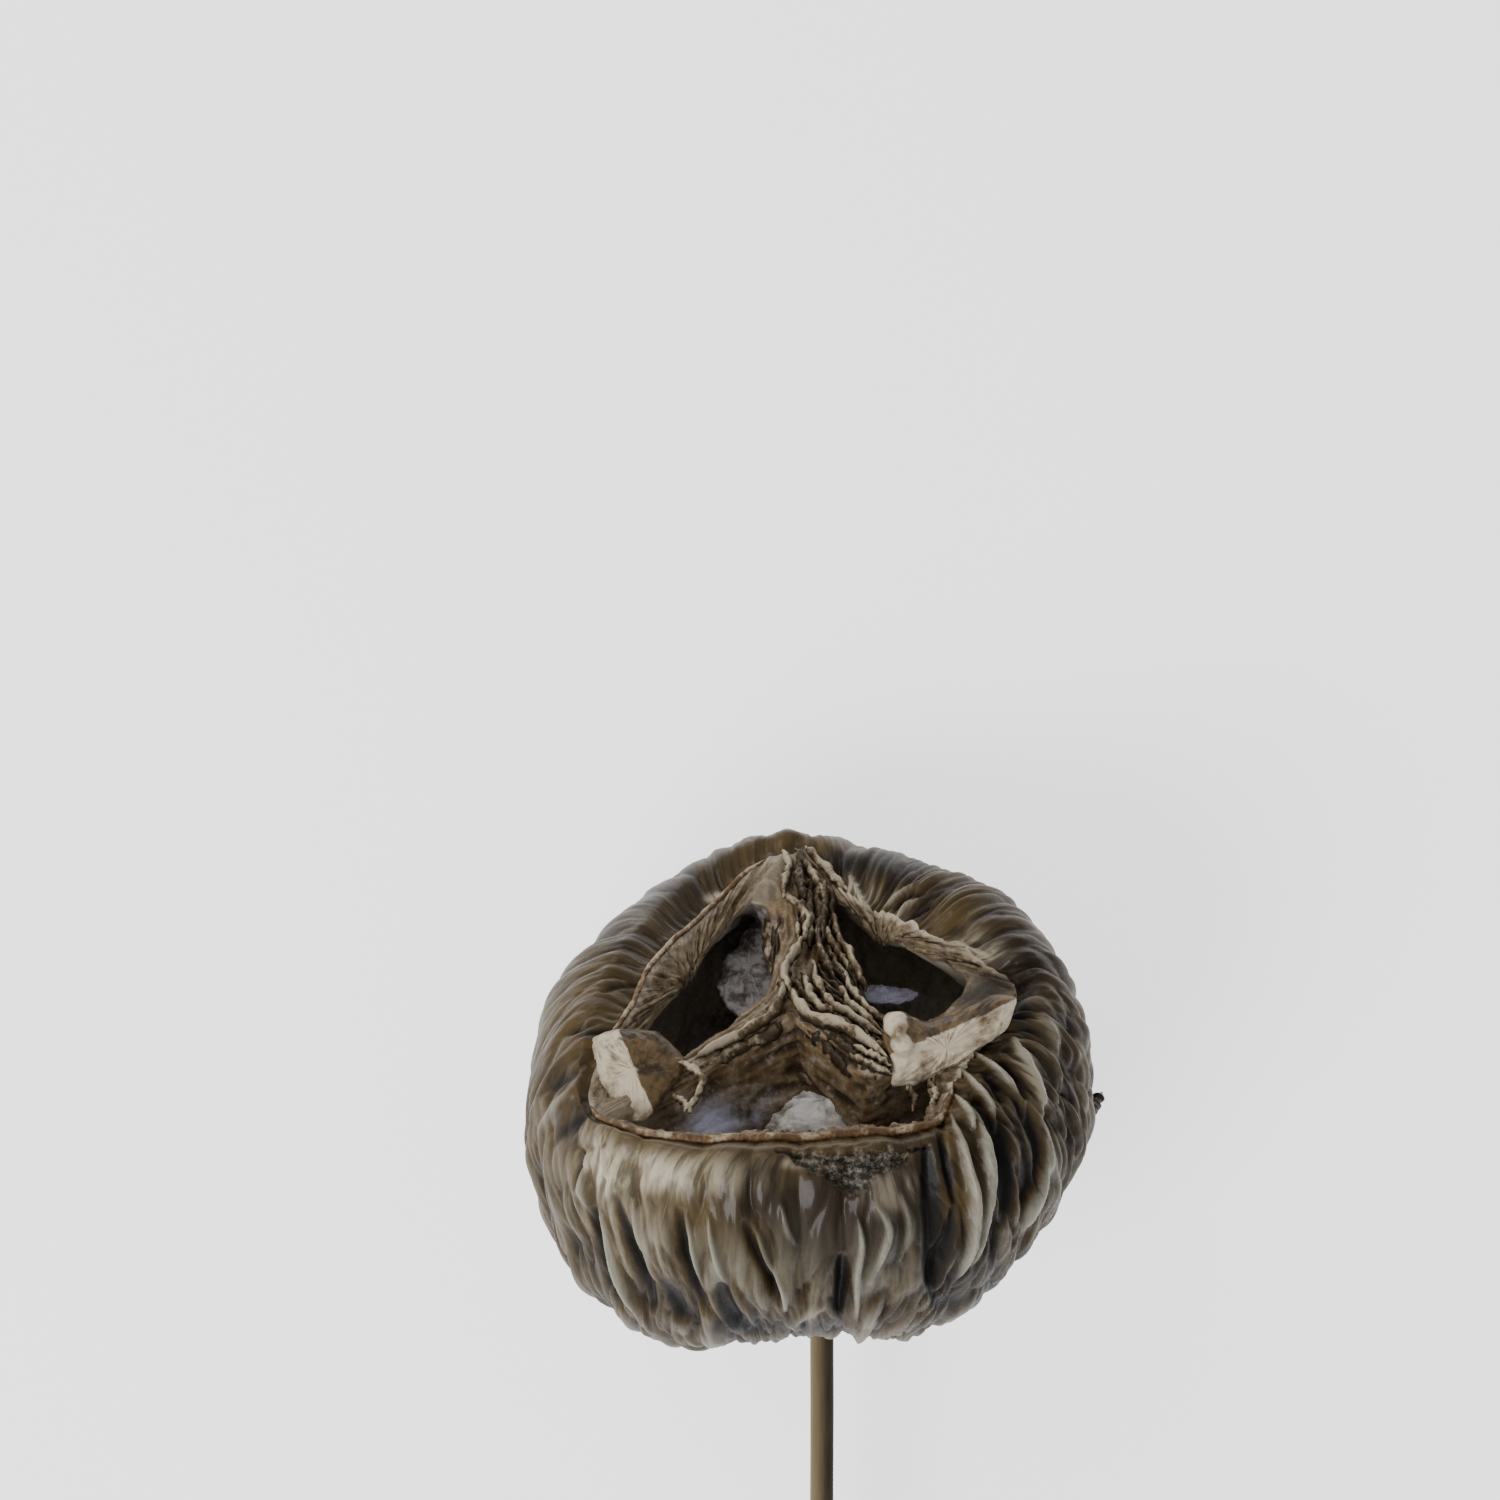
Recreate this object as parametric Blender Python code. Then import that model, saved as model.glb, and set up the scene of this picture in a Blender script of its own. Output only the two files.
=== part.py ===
"""A dried talami pod on a stick: the husk of a young palm fruit with its top cut off and its three seeds
taken out.

The husk is one grown piece. Its wrinkled skin runs from the stalk end, over the shoulder, to the cut rim.
Inside are three seed chambers, parted by three walls that meet in a hub, with two torn flaps standing on
the walls' outer ends and a scrap of seed lining in the front chamber. The stick is pushed slantwise into
the stalk end. The pod lies as it would on a table: the husk on a small flat spot, and the stick's far end
on the surface. Metres, +Z up, +Y from the stick's end towards the pod.

The pod frame has its z along the husk's axis towards the cut face and its y towards the husk's back.
"""

import math

import bmesh
import bpy
import numpy as np
from mathutils import Matrix

MM = 0.001

# The husk: how deep its stalk end lies below the widest part, how far the shoulder rises above the rim, how
# far the cut face leans up from upright, and the height that the flat spot takes off underneath
BASE_DEPTH = 24.5 * MM
CREST_RISE = 1.6 * MM
FACE_LEAN = math.radians(40.0)
FLAT_SPOT_DEPTH = 0.9 * MM

# The rings that the skin passes through from the shoulder to the stalk end. On the shoulder: the share of
# the way out from the rim to the greatest radius, and the share of the crest's height. Below: shares of the
# greatest radius and of the base's depth
SHOULDER_RINGS = ((0.36, 1.0), (0.78, 0.70))
WIDEST_HEIGHT = 0.06
BELLY_RINGS = ((0.91, 0.52), (0.67, 0.88), (0.34, 1.0), (0.0, 0.98))

# A full shoulder's crest is this far out from its rim, and a narrow one rises by at least this share
FULL_SHOULDER = 14.0 * MM
LEAST_RISE = 0.25

# Where the shoulder and the belly are fullest, as degrees above the widest part, and how far that spreads
SHOULDER_PEAK = 33.0
BELLY_PEAK = -35.0
PEAK_SPREAD = 20.0

# The stick, pushed in at the stalk end, that far to the right of the husk's axis
STICK_DIAMETER = 3.2 * MM
STICK_LENGTH = 250.0 * MM
STICK_INSERTED = 13.0 * MM
STICK_OFFSET = 2.4 * MM
STICK_SIDES = 16
GAP = 0.3 * MM
SHARP_ANGLE = math.radians(50.0)

# The husk's shape at several turns about its axis, in degrees from the right. In millimetres: the greatest
# radius, and how much fuller than an even curve the shoulder and the belly are
BODY = (
    (0, 36.6, 1.0, 0.0),
    (33, 35.8, 2.8, 0.0),
    (60, 35.8, 1.5, 0.0),
    (90, 36.2, 0.0, 0.0),
    (120, 36.0, -0.3, 0.0),
    (147, 35.6, -1.0, 0.0),
    (180, 36.1, 0.0, 1.5),
    (213, 36.6, 0.0, 3.4),
    (240, 36.0, 0.0, 1.8),
    (270, 34.8, 0.0, -1.6),
    (300, 35.8, 0.0, 0.6),
    (327, 36.2, 0.0, -1.4),
)

# The cut rim. Each row: turn in degrees, then in millimetres the distance from the axis, the height, the
# width of the cut face inside it and how far that face drops towards its seed chamber
RIM = (
    (0, 26.5, 17.3, 3.0, 1.0),
    (13, 24.3, 18.0, 2.4, 1.4),
    (28, 21.3, 18.0, 2.2, 2.0),
    (45, 21.0, 18.0, 2.2, 2.2),
    (63, 21.5, 18.0, 2.2, 2.0),
    (78, 24.3, 18.3, 2.4, 1.6),
    (93, 27.0, 18.6, 3.0, 1.6),
    (102, 24.8, 18.4, 4.2, 2.4),
    (120, 20.9, 18.0, 5.2, 3.0),
    (140, 19.1, 18.0, 5.4, 3.2),
    (160, 19.8, 17.8, 5.2, 3.0),
    (175, 20.8, 17.5, 5.0, 3.0),
    (187, 22.3, 17.0, 4.6, 2.6),
    (200, 27.0, 16.0, 3.4, 1.6),
    (215, 32.0, 14.7, 2.0, 0.8),
    (231, 30.6, 15.2, 1.7, 0.6),
    (256, 26.8, 15.4, 1.7, 0.6),
    (283, 25.6, 15.4, 1.7, 0.6),
    (305, 27.0, 15.8, 1.9, 0.8),
    (320, 23.4, 16.6, 2.6, 1.2),
    (346, 23.7, 17.3, 3.0, 1.2),
)

# The inner walls, meeting at the hub. Each row: the turn where it meets the rim, the point in the pod frame
# that it bends through on its way to the hub, and its thickness, in degrees and millimetres
HUB = (-2.6, 2.0, 16.0)
WALLS = (
    (0.0, (12.5, -7.0, 16.0), 7.0),
    (96.0, (-0.6, 14.0, 16.6), 5.4),
    (216.0, (-13.4, -9.0, 15.5), 3.0),
)

# The seed chambers, each between one inner wall and the next. Each row: the height of its floor in
# millimetres, and how far the inner walls lean into it on the way down, as a share of its width
CHAMBERS = (
    (-10.0, 0.10),
    (-10.0, 0.10),
    (-9.0, 0.20),
)

# The chambers' radius about the husk's axis, how far below the cut edge they start to widen, how far their
# edge drops beside an inner wall, and the rings below: shares of the widest ring's size and of the depth to
# the floor
CHAMBER_RADIUS = 28.2 * MM
LIP_DEPTH = 3.4 * MM
LIP_SHARE = 0.35
WALL_ROUNDING = 0.8 * MM
CHAMBER_RINGS = ((1.0, 0.46), (0.82, 0.78), (0.42, 0.96), (0.0, 1.0))
GREATEST_INSET = 0.45
CORNER_SMOOTHING = 2

# The torn flaps, as plates with rounded edges: outline seen from above, middle, thickness and lean about x
# and y, in millimetres and degrees, in a frame that is level and has its origin at the pod frame's
LEFT_FLAP = (
    (
        (-5.5, 3.6),
        (-2.4, 4.8),
        (2.9, 4.5),
        (5.8, 1.4),
        (5.1, 0.0),
        (-0.8, -7.4),
        (-3.0, -6.4),
        (-4.6, -0.9),
    ),
    (-21.4, 4.6, 18.6),
    6.0,
    (10.0, -14.0),
)
RIGHT_FLAP = (
    (
        (-7.6, 4.1),
        (-5.6, 4.5),
        (-2.5, 2.9),
        (1.9, 4.3),
        (6.3, 6.6),
        (9.1, 6.3),
        (7.8, 2.2),
        (0.1, -2.9),
        (-3.5, -4.7),
        (-6.8, -5.0),
        (-6.5, -1.9),
        (-7.7, 0.6),
    ),
    (17.2, 7.2, 17.6),
    6.0,
    (14.0, 0.0),
)

# The rings of a flap, from its underside to its top: shares of its outline and of its thickness
FLAP_RINGS = ((0.80, -0.5), (1.0, -0.2), (1.0, 0.2), (0.80, 0.5))

# The scrap of seed lining in the front chamber: middle and half sizes in the pod frame, in millimetres, and
# the rise of its rings in degrees
SCRAP_MIDDLE = (1.6, -9.0, 0.0)
SCRAP_HALF_SIZES = (4.6, 4.0, 8.5)
SCRAP_RINGS = (-60.0, -20.0, 20.0, 60.0)
SCRAP_SIDES = 12

# Counts of the grid. TURN_STEPS is a multiple of 15, so that each inner wall starts on a grid line
TURN_STEPS = 180
WALL_STEPS = 8
SKIN_STEPS = (2, 2, 3, 3, 2, 2, 1)
CHAMBER_STEPS = (1, 1, 1, 2, 1, 1)

# Folds of the skin. Those at the rim have a share of their full depth and grow over a share of the way down,
# and they fade out near the stalk end and towards the flat spot. MEAN_RELIEF keeps the husk's size the same
FOLDS = 30
FOLD_DEPTH = 1.9 * MM
MEAN_RELIEF = 0.75
RIM_FOLD_SHARE = 0.35
FOLDS_GROW_OVER = 0.33
FOLDS_FADE_FROM_AXIS = 22.0 * MM
FOLDS_FADE_UNDERNEATH = 5.0 * MM
FOLD_WANDER = 0.9
FOLD_WAVER = 0.35
NOISE_ROWS = 8
SEED = 7


def clear_scene():
    for obj in list(bpy.data.objects):
        bpy.data.objects.remove(obj)


def material(name, colour, roughness):
    made = bpy.data.materials.new(name)
    made.use_nodes = True
    shader = made.node_tree.nodes["Principled BSDF"]
    shader.inputs["Base Color"].default_value = (*colour, 1.0)
    shader.inputs["Roughness"].default_value = roughness
    shader.inputs["Metallic"].default_value = 0.0
    return made


def closed_curve(degrees, table):
    """Values at these turns of a smooth closed curve through rows of a turn in degrees and its values."""
    rows = np.array(table, float)
    count = len(rows)
    knots = np.concatenate([rows[-2:, 0] - 360.0, rows[:, 0], rows[:2, 0] + 360.0])
    values = np.concatenate([rows[-2:, 1:], rows[:, 1:], rows[:2, 1:]])
    at = np.clip(np.searchsorted(knots, degrees, side="right") - 1, 1, count + 1)
    width = (knots[at + 1] - knots[at])[:, None]
    t = (degrees - knots[at])[:, None] / width
    slope_in = (values[at + 1] - values[at - 1]) / (knots[at + 1] - knots[at - 1])[:, None]
    slope_out = (values[at + 2] - values[at]) / (knots[at + 2] - knots[at])[:, None]
    return (
        (2 * t**3 - 3 * t**2 + 1) * values[at]
        + (t**3 - 2 * t**2 + t) * width * slope_in
        + (3 * t**2 - 2 * t**3) * values[at + 1]
        + (t**3 - t**2) * width * slope_out
    )


def smooth_rows(points, steps):
    """Rows of a smooth surface through the control rows, with that many steps between each two of them."""
    first = 2 * points[0] - points[1]
    last = 2 * points[-1] - points[-2]
    knots = [first, *points, last]
    rows = [points[0]]
    for index, count in enumerate(steps):
        a, b, c, d = knots[index : index + 4]
        for step in range(1, count + 1):
            t = step / count
            linear = (c - a) * t
            square = (2 * a - 5 * b + 4 * c - d) * t**2
            cubic = (3 * b - a - 3 * c + d) * t**3
            rows.append(0.5 * (2 * b + linear + square + cubic))
    return np.array(rows)


def closed_noise(turn, along, columns, seed):
    """Soft noise from -1 to 1, closed on itself. turn goes round from 0 to 1, along counts lattice rows."""
    lattice = np.random.default_rng(seed).uniform(-1.0, 1.0, (NOISE_ROWS, columns))
    x, y = turn * columns, along % NOISE_ROWS
    column, row = np.floor(x).astype(int), np.floor(y).astype(int)
    fx, fy = x - column, y - row
    fx, fy = fx * fx * (3 - 2 * fx), fy * fy * (3 - 2 * fy)
    left, right = column % columns, (column + 1) % columns
    low, high = row % NOISE_ROWS, (row + 1) % NOISE_ROWS
    near = lattice[low, left] * (1 - fx) + lattice[low, right] * fx
    far = lattice[high, left] * (1 - fx) + lattice[high, right] * fx
    return near * (1 - fy) + far * fy


def fold_relief(turn, along):
    """Height of the skin's folds, 0 in a groove and 1 on a ridge. They wander from the rim to the base."""
    slow = closed_noise(turn, 2.0 * along, 14, SEED)
    quick = closed_noise(turn, 5.0 * along, 40, SEED + 1)
    ridge = np.abs(np.sin(math.pi * (FOLDS * turn + FOLD_WANDER * slow + FOLD_WAVER * quick)))
    strength = 0.7 + 0.3 * closed_noise(turn, 3.0 * along + 1.5, 20, SEED + 2)
    return strength * ridge**0.8


def surface_normals(rows):
    """Outward unit normals of a grid of rows that close on themselves."""
    along = np.gradient(rows, axis=0)
    around = np.roll(rows, -1, axis=1) - np.roll(rows, 1, axis=1)
    normal = np.cross(along, around)
    length = np.linalg.norm(normal, axis=2, keepdims=True)
    return normal / np.maximum(length, 1e-12)


def polar(radius, turn, height):
    return np.stack([radius * np.cos(turn), radius * np.sin(turn), height + 0 * turn], axis=-1)


def level(points):
    """Points of the pod frame turned into the level frame, where z is up."""
    sine, cosine = math.sin(FACE_LEAN), math.cos(FACE_LEAN)
    return points @ np.array([[1.0, 0.0, 0.0], [0.0, sine, -cosine], [0.0, cosine, sine]])


def skin_rows():
    """Rows of the outer skin, from the rim over the shoulder to the stalk end, a column for each turn."""
    degrees = np.arange(TURN_STEPS) * 360.0 / TURN_STEPS
    turn = np.radians(degrees)
    rim_radius, rim_height = (closed_curve(degrees, RIM)[:, :2] * MM).T
    radius, shoulder, belly = (closed_curve(degrees, BODY) * MM).T
    reach = radius - rim_radius
    crest = rim_height + CREST_RISE * np.clip(reach / FULL_SHOULDER, LEAST_RISE, 1.0)
    controls = [polar(rim_radius, turn, rim_height)]
    controls += [polar(rim_radius + out * reach, turn, height * crest) for out, height in SHOULDER_RINGS]
    controls.append(polar(radius, turn, WIDEST_HEIGHT * crest))
    controls += [polar(size * radius, turn, -depth * BASE_DEPTH) for size, depth in BELLY_RINGS]
    rows = smooth_rows(controls, SKIN_STEPS)
    from_axis = np.hypot(rows[..., 0], rows[..., 1])
    rise = np.degrees(np.arctan2(rows[..., 2], from_axis))
    fuller = shoulder * np.exp(-(((rise - SHOULDER_PEAK) / PEAK_SPREAD) ** 2))
    fuller += belly * np.exp(-(((rise - BELLY_PEAK) / PEAK_SPREAD) ** 2))
    share = np.linspace(0.0, 1.0, len(rows))[:, None]
    around = np.broadcast_to(degrees / 360.0, rows.shape[:2])
    height = level(rows)[..., 2]
    fade = np.clip(from_axis / FOLDS_FADE_FROM_AXIS, 0.0, 1.0)
    fade *= np.clip(RIM_FOLD_SHARE + share / FOLDS_GROW_OVER, 0.0, 1.0)
    fade *= np.clip((height - height.min()) / FOLDS_FADE_UNDERNEATH, 0.0, 1.0)
    depth = FOLD_DEPTH * fade * (fold_relief(around, share) - MEAN_RELIEF)
    return rows + surface_normals(rows) * (fuller + depth)[..., None]


def wall_crest(rim_point, bend, steps):
    """Points along an inner wall's top, from the rim to the hub, on a quadratic curve through its bend."""
    hub, bend = np.array(HUB) * MM, np.array(bend) * MM
    t = np.linspace(0.0, 1.0, steps + 1)[:, None]
    pull = 2 * bend - 0.5 * (rim_point + hub)
    return (1 - t) ** 2 * rim_point + 2 * t * (1 - t) * pull + t**2 * hub


def running_mean(values, reach):
    """Mean of each value of a closed ring and its neighbours within reach."""
    kernel = np.ones(2 * reach + 1) / (2 * reach + 1)
    return np.convolve(np.tile(values, 3), kernel, "same")[len(values) : 2 * len(values)]


def chamber_rows(loop, is_rim, cut, thickness, floor_height, lean):
    """Rows of one seed chamber, from its loop of rim and wall tops down to its floor.

    cut holds the width and drop of the cut face for the rim's points, and thickness that of the inner wall
    for the others. The edge is the loop drawn in towards the chamber's middle by the same width all along a
    side.
    """
    inward = loop.mean(axis=0) - loop
    inward[:, 2] = 0.0
    ahead = np.roll(loop, -1, axis=0) - np.roll(loop, 1, axis=0)
    ahead /= np.linalg.norm(ahead[:, :2], axis=1, keepdims=True)
    across = np.abs(ahead[:, 0] * inward[:, 1] - ahead[:, 1] * inward[:, 0])
    width = np.where(is_rim, cut[:, 0], 0.5 * thickness)
    inset = np.clip(width / np.maximum(across, 1e-6), 0.0, GREATEST_INSET)
    share = running_mean(inset, CORNER_SMOOTHING)[:, None]
    rim_share = running_mean(is_rim.astype(float), CORNER_SMOOTHING)[:, None]
    edge = loop + inward * share
    edge[:, 2] -= running_mean(np.where(is_rim, cut[:, 1], WALL_ROUNDING), CORNER_SMOOTHING)
    turn = np.arctan2(loop[:, 1], loop[:, 0])
    far_wall = polar(CHAMBER_RADIUS, turn, np.zeros(len(loop)))
    near_wall = loop + inward * (share + lean)
    widest = rim_share * far_wall + (1 - rim_share) * near_wall
    middle = widest.mean(axis=0)
    top = loop[:, 2].mean()
    under_lip = (1 - LIP_SHARE) * edge + LIP_SHARE * widest
    under_lip[:, 2] = edge[:, 2] - LIP_DEPTH
    controls = [loop, edge, under_lip]
    for size, depth in CHAMBER_RINGS:
        rows = middle + (widest - middle) * size
        rows[:, 2] = top + (floor_height - top) * depth
        controls.append(rows)
    return smooth_rows(controls, CHAMBER_STEPS)


def grid_faces(index, tip):
    """Quads between the rows of a closed grid of vertex indices, and triangles from its last row to tip."""
    ahead = np.roll(index, -1, axis=1)
    quads = np.stack([index[:-1], index[1:], ahead[1:], ahead[:-1]], axis=-1).reshape(-1, 4)
    fan = [(a, tip, b) for a, b in zip(index[-1], ahead[-1])]
    return [tuple(quad) for quad in quads] + fan


def husk_grid():
    """Points and faces of the husk without its flaps. Skin and chambers share the rim and the wall tops."""
    skin = skin_rows()
    points = [skin[:-1].reshape(-1, 3), skin[-1, :1], np.array([HUB]) * MM]
    skin_index = np.arange((len(skin) - 1) * TURN_STEPS).reshape(-1, TURN_STEPS)
    hub_index = skin_index.size + 1
    used = hub_index + 1
    faces = grid_faces(skin_index, skin_index.size)
    rim, rim_index = skin[0], skin_index[0]
    cut = closed_curve(np.arange(TURN_STEPS) * 360.0 / TURN_STEPS, RIM)[:, 2:] * MM
    starts, crests, crest_index = [], [], []
    for turn, bend, thickness in WALLS:
        starts.append(round(turn / 360.0 * TURN_STEPS))
        crests.append(wall_crest(rim[starts[-1]], bend, WALL_STEPS))
        crest_index.append(np.arange(used, used + WALL_STEPS - 1))
        points.append(crests[-1][1:-1])
        used += WALL_STEPS - 1
    for wall, (floor_height, lean) in enumerate(CHAMBERS):
        after = (wall + 1) % len(WALLS)
        span = (starts[after] - starts[wall]) % TURN_STEPS
        arc = (starts[wall] + np.arange(span + 1)) % TURN_STEPS
        loop = np.concatenate([rim[arc], crests[after][1:], crests[wall][1:-1][::-1]])
        wall_index = [crest_index[after], [hub_index], crest_index[wall][::-1]]
        loop_index = np.concatenate([rim_index[arc], *wall_index])
        is_rim = np.arange(len(loop)) <= span
        loop_cut = np.zeros((len(loop), 2))
        loop_cut[: span + 1] = cut[arc]
        thickness = np.full(len(loop), WALLS[wall][2] * MM)
        thickness[span + 1 : span + 1 + WALL_STEPS] = WALLS[after][2] * MM
        rows = chamber_rows(loop, is_rim, loop_cut, thickness, floor_height * MM, lean)
        inner = np.arange(used, used + (len(rows) - 2) * len(loop)).reshape(len(rows) - 2, len(loop))
        used += inner.size + 1
        points += [rows[1:-1].reshape(-1, 3), rows[-1, :1]]
        index = np.concatenate([loop_index[None], inner])[:, ::-1]
        faces += grid_faces(index, used - 1)
    return np.concatenate(points), faces


def ring_grid(rings):
    """Points and faces of a closed body through rings of points. Each end closes at its ring's middle."""
    count, sides = len(rings), len(rings[0])
    points = np.concatenate([*rings, [rings[0].mean(axis=0)], [rings[-1].mean(axis=0)]])
    index = np.arange(count * sides).reshape(count, sides)
    ahead = np.roll(index, -1, axis=1)
    quads = np.stack([index[:-1], ahead[:-1], ahead[1:], index[1:]], axis=-1).reshape(-1, 4)
    faces = [tuple(quad) for quad in quads]
    faces += [(count * sides, b, a) for a, b in zip(index[0], ahead[0])]
    faces += [(count * sides + 1, a, b) for a, b in zip(index[-1], ahead[-1])]
    return points, faces


def flap_grid(outline, middle, thickness, lean):
    """Points and faces of a torn flap, in the level frame."""
    flat = np.column_stack([np.array(outline), np.zeros(len(outline))])
    rings = []
    for size, height in FLAP_RINGS:
        rings.append(flat * size + np.array([0.0, 0.0, height * thickness]))
    (sine_x, sine_y), (cosine_x, cosine_y) = np.sin(np.radians(lean)), np.cos(np.radians(lean))
    about_x = np.array([[1.0, 0.0, 0.0], [0.0, cosine_x, sine_x], [0.0, -sine_x, cosine_x]])
    about_y = np.array([[cosine_y, 0.0, -sine_y], [0.0, 1.0, 0.0], [sine_y, 0.0, cosine_y]])
    return ring_grid([(ring @ about_x @ about_y + np.array(middle)) * MM for ring in rings])


def scrap_grid():
    """Points and faces of the scrap of seed lining, in the level frame."""
    turn = np.arange(SCRAP_SIDES) * math.tau / SCRAP_SIDES
    rings = []
    for rise in np.radians(SCRAP_RINGS):
        ring = polar(math.cos(rise), turn, math.sin(rise)) * np.array(SCRAP_HALF_SIZES)
        rings.append(level((ring + np.array(SCRAP_MIDDLE)) * MM))
    return ring_grid(rings)


def rod_grid(radius, start, end):
    """Points and faces of a round rod from start to end."""
    ahead = (end - start) / np.linalg.norm(end - start)
    side = np.array([1.0, 0.0, 0.0])
    up = np.cross(side, ahead)
    turn = np.arange(STICK_SIDES)[:, None] * math.tau / STICK_SIDES
    ring = radius * (np.cos(turn) * side + np.sin(turn) * up)
    return ring_grid([start + ring, end + ring])


def add_object(name, grid):
    """An object of these points and faces, with its normals outward."""
    points, faces = grid
    mesh = bpy.data.meshes.new(name)
    mesh.from_pydata(points.tolist(), [], faces)
    body = bmesh.new()
    body.from_mesh(mesh)
    bmesh.ops.recalc_face_normals(body, faces=body.faces)
    bmesh.ops.triangulate(body, faces=body.faces)
    body.to_mesh(mesh)
    body.free()
    made = bpy.data.objects.new(name, mesh)
    bpy.context.scene.collection.objects.link(made)
    return made


def combine(target, tool, operation):
    """The exact Boolean of two objects, kept as a mesh in the first one. The second is removed."""
    modifier = target.modifiers.new(operation.lower(), "BOOLEAN")
    modifier.object = tool
    modifier.operation = operation
    modifier.solver = "EXACT"
    evaluated = target.evaluated_get(bpy.context.evaluated_depsgraph_get())
    mesh = bpy.data.meshes.new_from_object(evaluated)
    target.modifiers.clear()
    target.data = mesh
    bpy.data.objects.remove(tool)


def main():
    clear_scene()
    points, faces = husk_grid()
    points = level(points)
    surface = points[:, 2].min() + FLAT_SPOT_DEPTH
    points[:, 2] = np.maximum(points[:, 2], surface)
    husk = add_object("husk", (points, faces))
    combine(husk, add_object("left_flap", flap_grid(*LEFT_FLAP)), "UNION")
    combine(husk, add_object("right_flap", flap_grid(*RIGHT_FLAP)), "UNION")
    combine(husk, add_object("lining_scrap", scrap_grid()), "UNION")

    entry = level(np.array([STICK_OFFSET, 0.0, -BASE_DEPTH]))
    outside = STICK_LENGTH - STICK_INSERTED
    radius = 0.5 * STICK_DIAMETER
    slope = math.asin((entry[2] - surface) / math.hypot(outside, radius)) - math.atan(radius / outside)
    ahead = np.array([0.0, math.cos(slope), math.sin(slope)])
    stick = add_object("stick", rod_grid(radius, entry - outside * ahead, entry + STICK_INSERTED * ahead))
    bore_end = entry + (STICK_INSERTED + GAP) * ahead
    bore = add_object("bore", rod_grid(radius + GAP, entry - STICK_INSERTED * ahead, bore_end))
    combine(husk, bore, "DIFFERENCE")

    corners = []
    for made in (husk, stick):
        corners += [vertex.co[:] for vertex in made.data.vertices]
    low, high = np.min(corners, axis=0), np.max(corners, axis=0)
    shift = np.array([0.5 * (low[0] + high[0]), 0.5 * (low[1] + high[1]), low[2]])
    for made in (husk, stick):
        made.data.transform(Matrix.Translation(-shift))

    husk.data.materials.clear()
    husk.data.materials.append(material("dried_husk", (0.10, 0.075, 0.045), 0.35))
    stick.data.materials.append(material("stick_wood", (0.16, 0.12, 0.07), 0.6))
    for made in (husk, stick):
        made.data.shade_smooth()
        made.data.set_sharp_from_angle(angle=SHARP_ANGLE)


main()
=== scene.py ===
"""Visual model of a dried talami pod: the cut and emptied husk of a young palm fruit, lying on its stick.

Every shape is a function on a grid, worked out as whole numpy arrays in the pod's own frame in millimetres (z along
the husk's axis towards the cut face, y towards its back), turned level and placed where the CAD husk is. Details
that have a place of their own are drawn as lines and spots in the view from above.
"""

from __future__ import annotations

import logging
import math
from dataclasses import dataclass
from enum import Enum
from typing import Any, Sequence

import bpy
import numpy as np
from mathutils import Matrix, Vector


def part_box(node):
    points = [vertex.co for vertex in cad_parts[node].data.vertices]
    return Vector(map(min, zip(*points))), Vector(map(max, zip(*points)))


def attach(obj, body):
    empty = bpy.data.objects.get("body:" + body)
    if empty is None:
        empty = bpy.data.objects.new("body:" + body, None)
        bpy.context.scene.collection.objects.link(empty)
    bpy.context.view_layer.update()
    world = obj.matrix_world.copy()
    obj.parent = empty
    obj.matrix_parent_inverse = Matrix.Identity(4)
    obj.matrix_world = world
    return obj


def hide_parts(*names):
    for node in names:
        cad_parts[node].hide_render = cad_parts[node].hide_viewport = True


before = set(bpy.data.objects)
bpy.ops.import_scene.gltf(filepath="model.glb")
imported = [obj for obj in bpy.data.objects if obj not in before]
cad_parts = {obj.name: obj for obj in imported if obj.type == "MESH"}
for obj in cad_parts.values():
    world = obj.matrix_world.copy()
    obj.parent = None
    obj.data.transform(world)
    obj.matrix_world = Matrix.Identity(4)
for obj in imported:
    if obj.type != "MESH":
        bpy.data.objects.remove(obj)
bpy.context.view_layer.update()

MM = 0.001
FACE_LEAN = math.radians(40.0)
SINE, COSINE = math.sin(FACE_LEAN), math.cos(FACE_LEAN)
LEVEL = np.array([[1.0, 0.0, 0.0], [0.0, SINE, -COSINE], [0.0, COSINE, SINE]])
POD_MIDDLE = np.array([-0.00046, 0.11044, 0.03289])
LOG = logging.getLogger("talami_pod")

Table = tuple[tuple[float, ...], ...]
Values = dict[str, np.ndarray]


# Numbers and noise


def srgb(red: float, green: float, blue: float) -> tuple[float, float, float, float]:
    """Linear colour with alpha of an sRGB colour given from 0 to 255.

    Args:
        red: red part.
        green: green part.
        blue: blue part.

    Returns:
        The four numbers that a shader's colour socket takes.
    """
    parts = np.array([red, green, blue]) / 255.0
    linear = np.where(parts <= 0.04045, parts / 12.92, ((parts + 0.055) / 1.055) ** 2.4)
    return (float(linear[0]), float(linear[1]), float(linear[2]), 1.0)


def smooth_step(values: np.ndarray, low: float, high: float) -> np.ndarray:
    """Values eased from 0 at low to 1 at high, along 3t^2 - 2t^3."""
    t = np.clip((values - low) / (high - low), 0.0, 1.0)
    return t * t * (3.0 - 2.0 * t)


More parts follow.
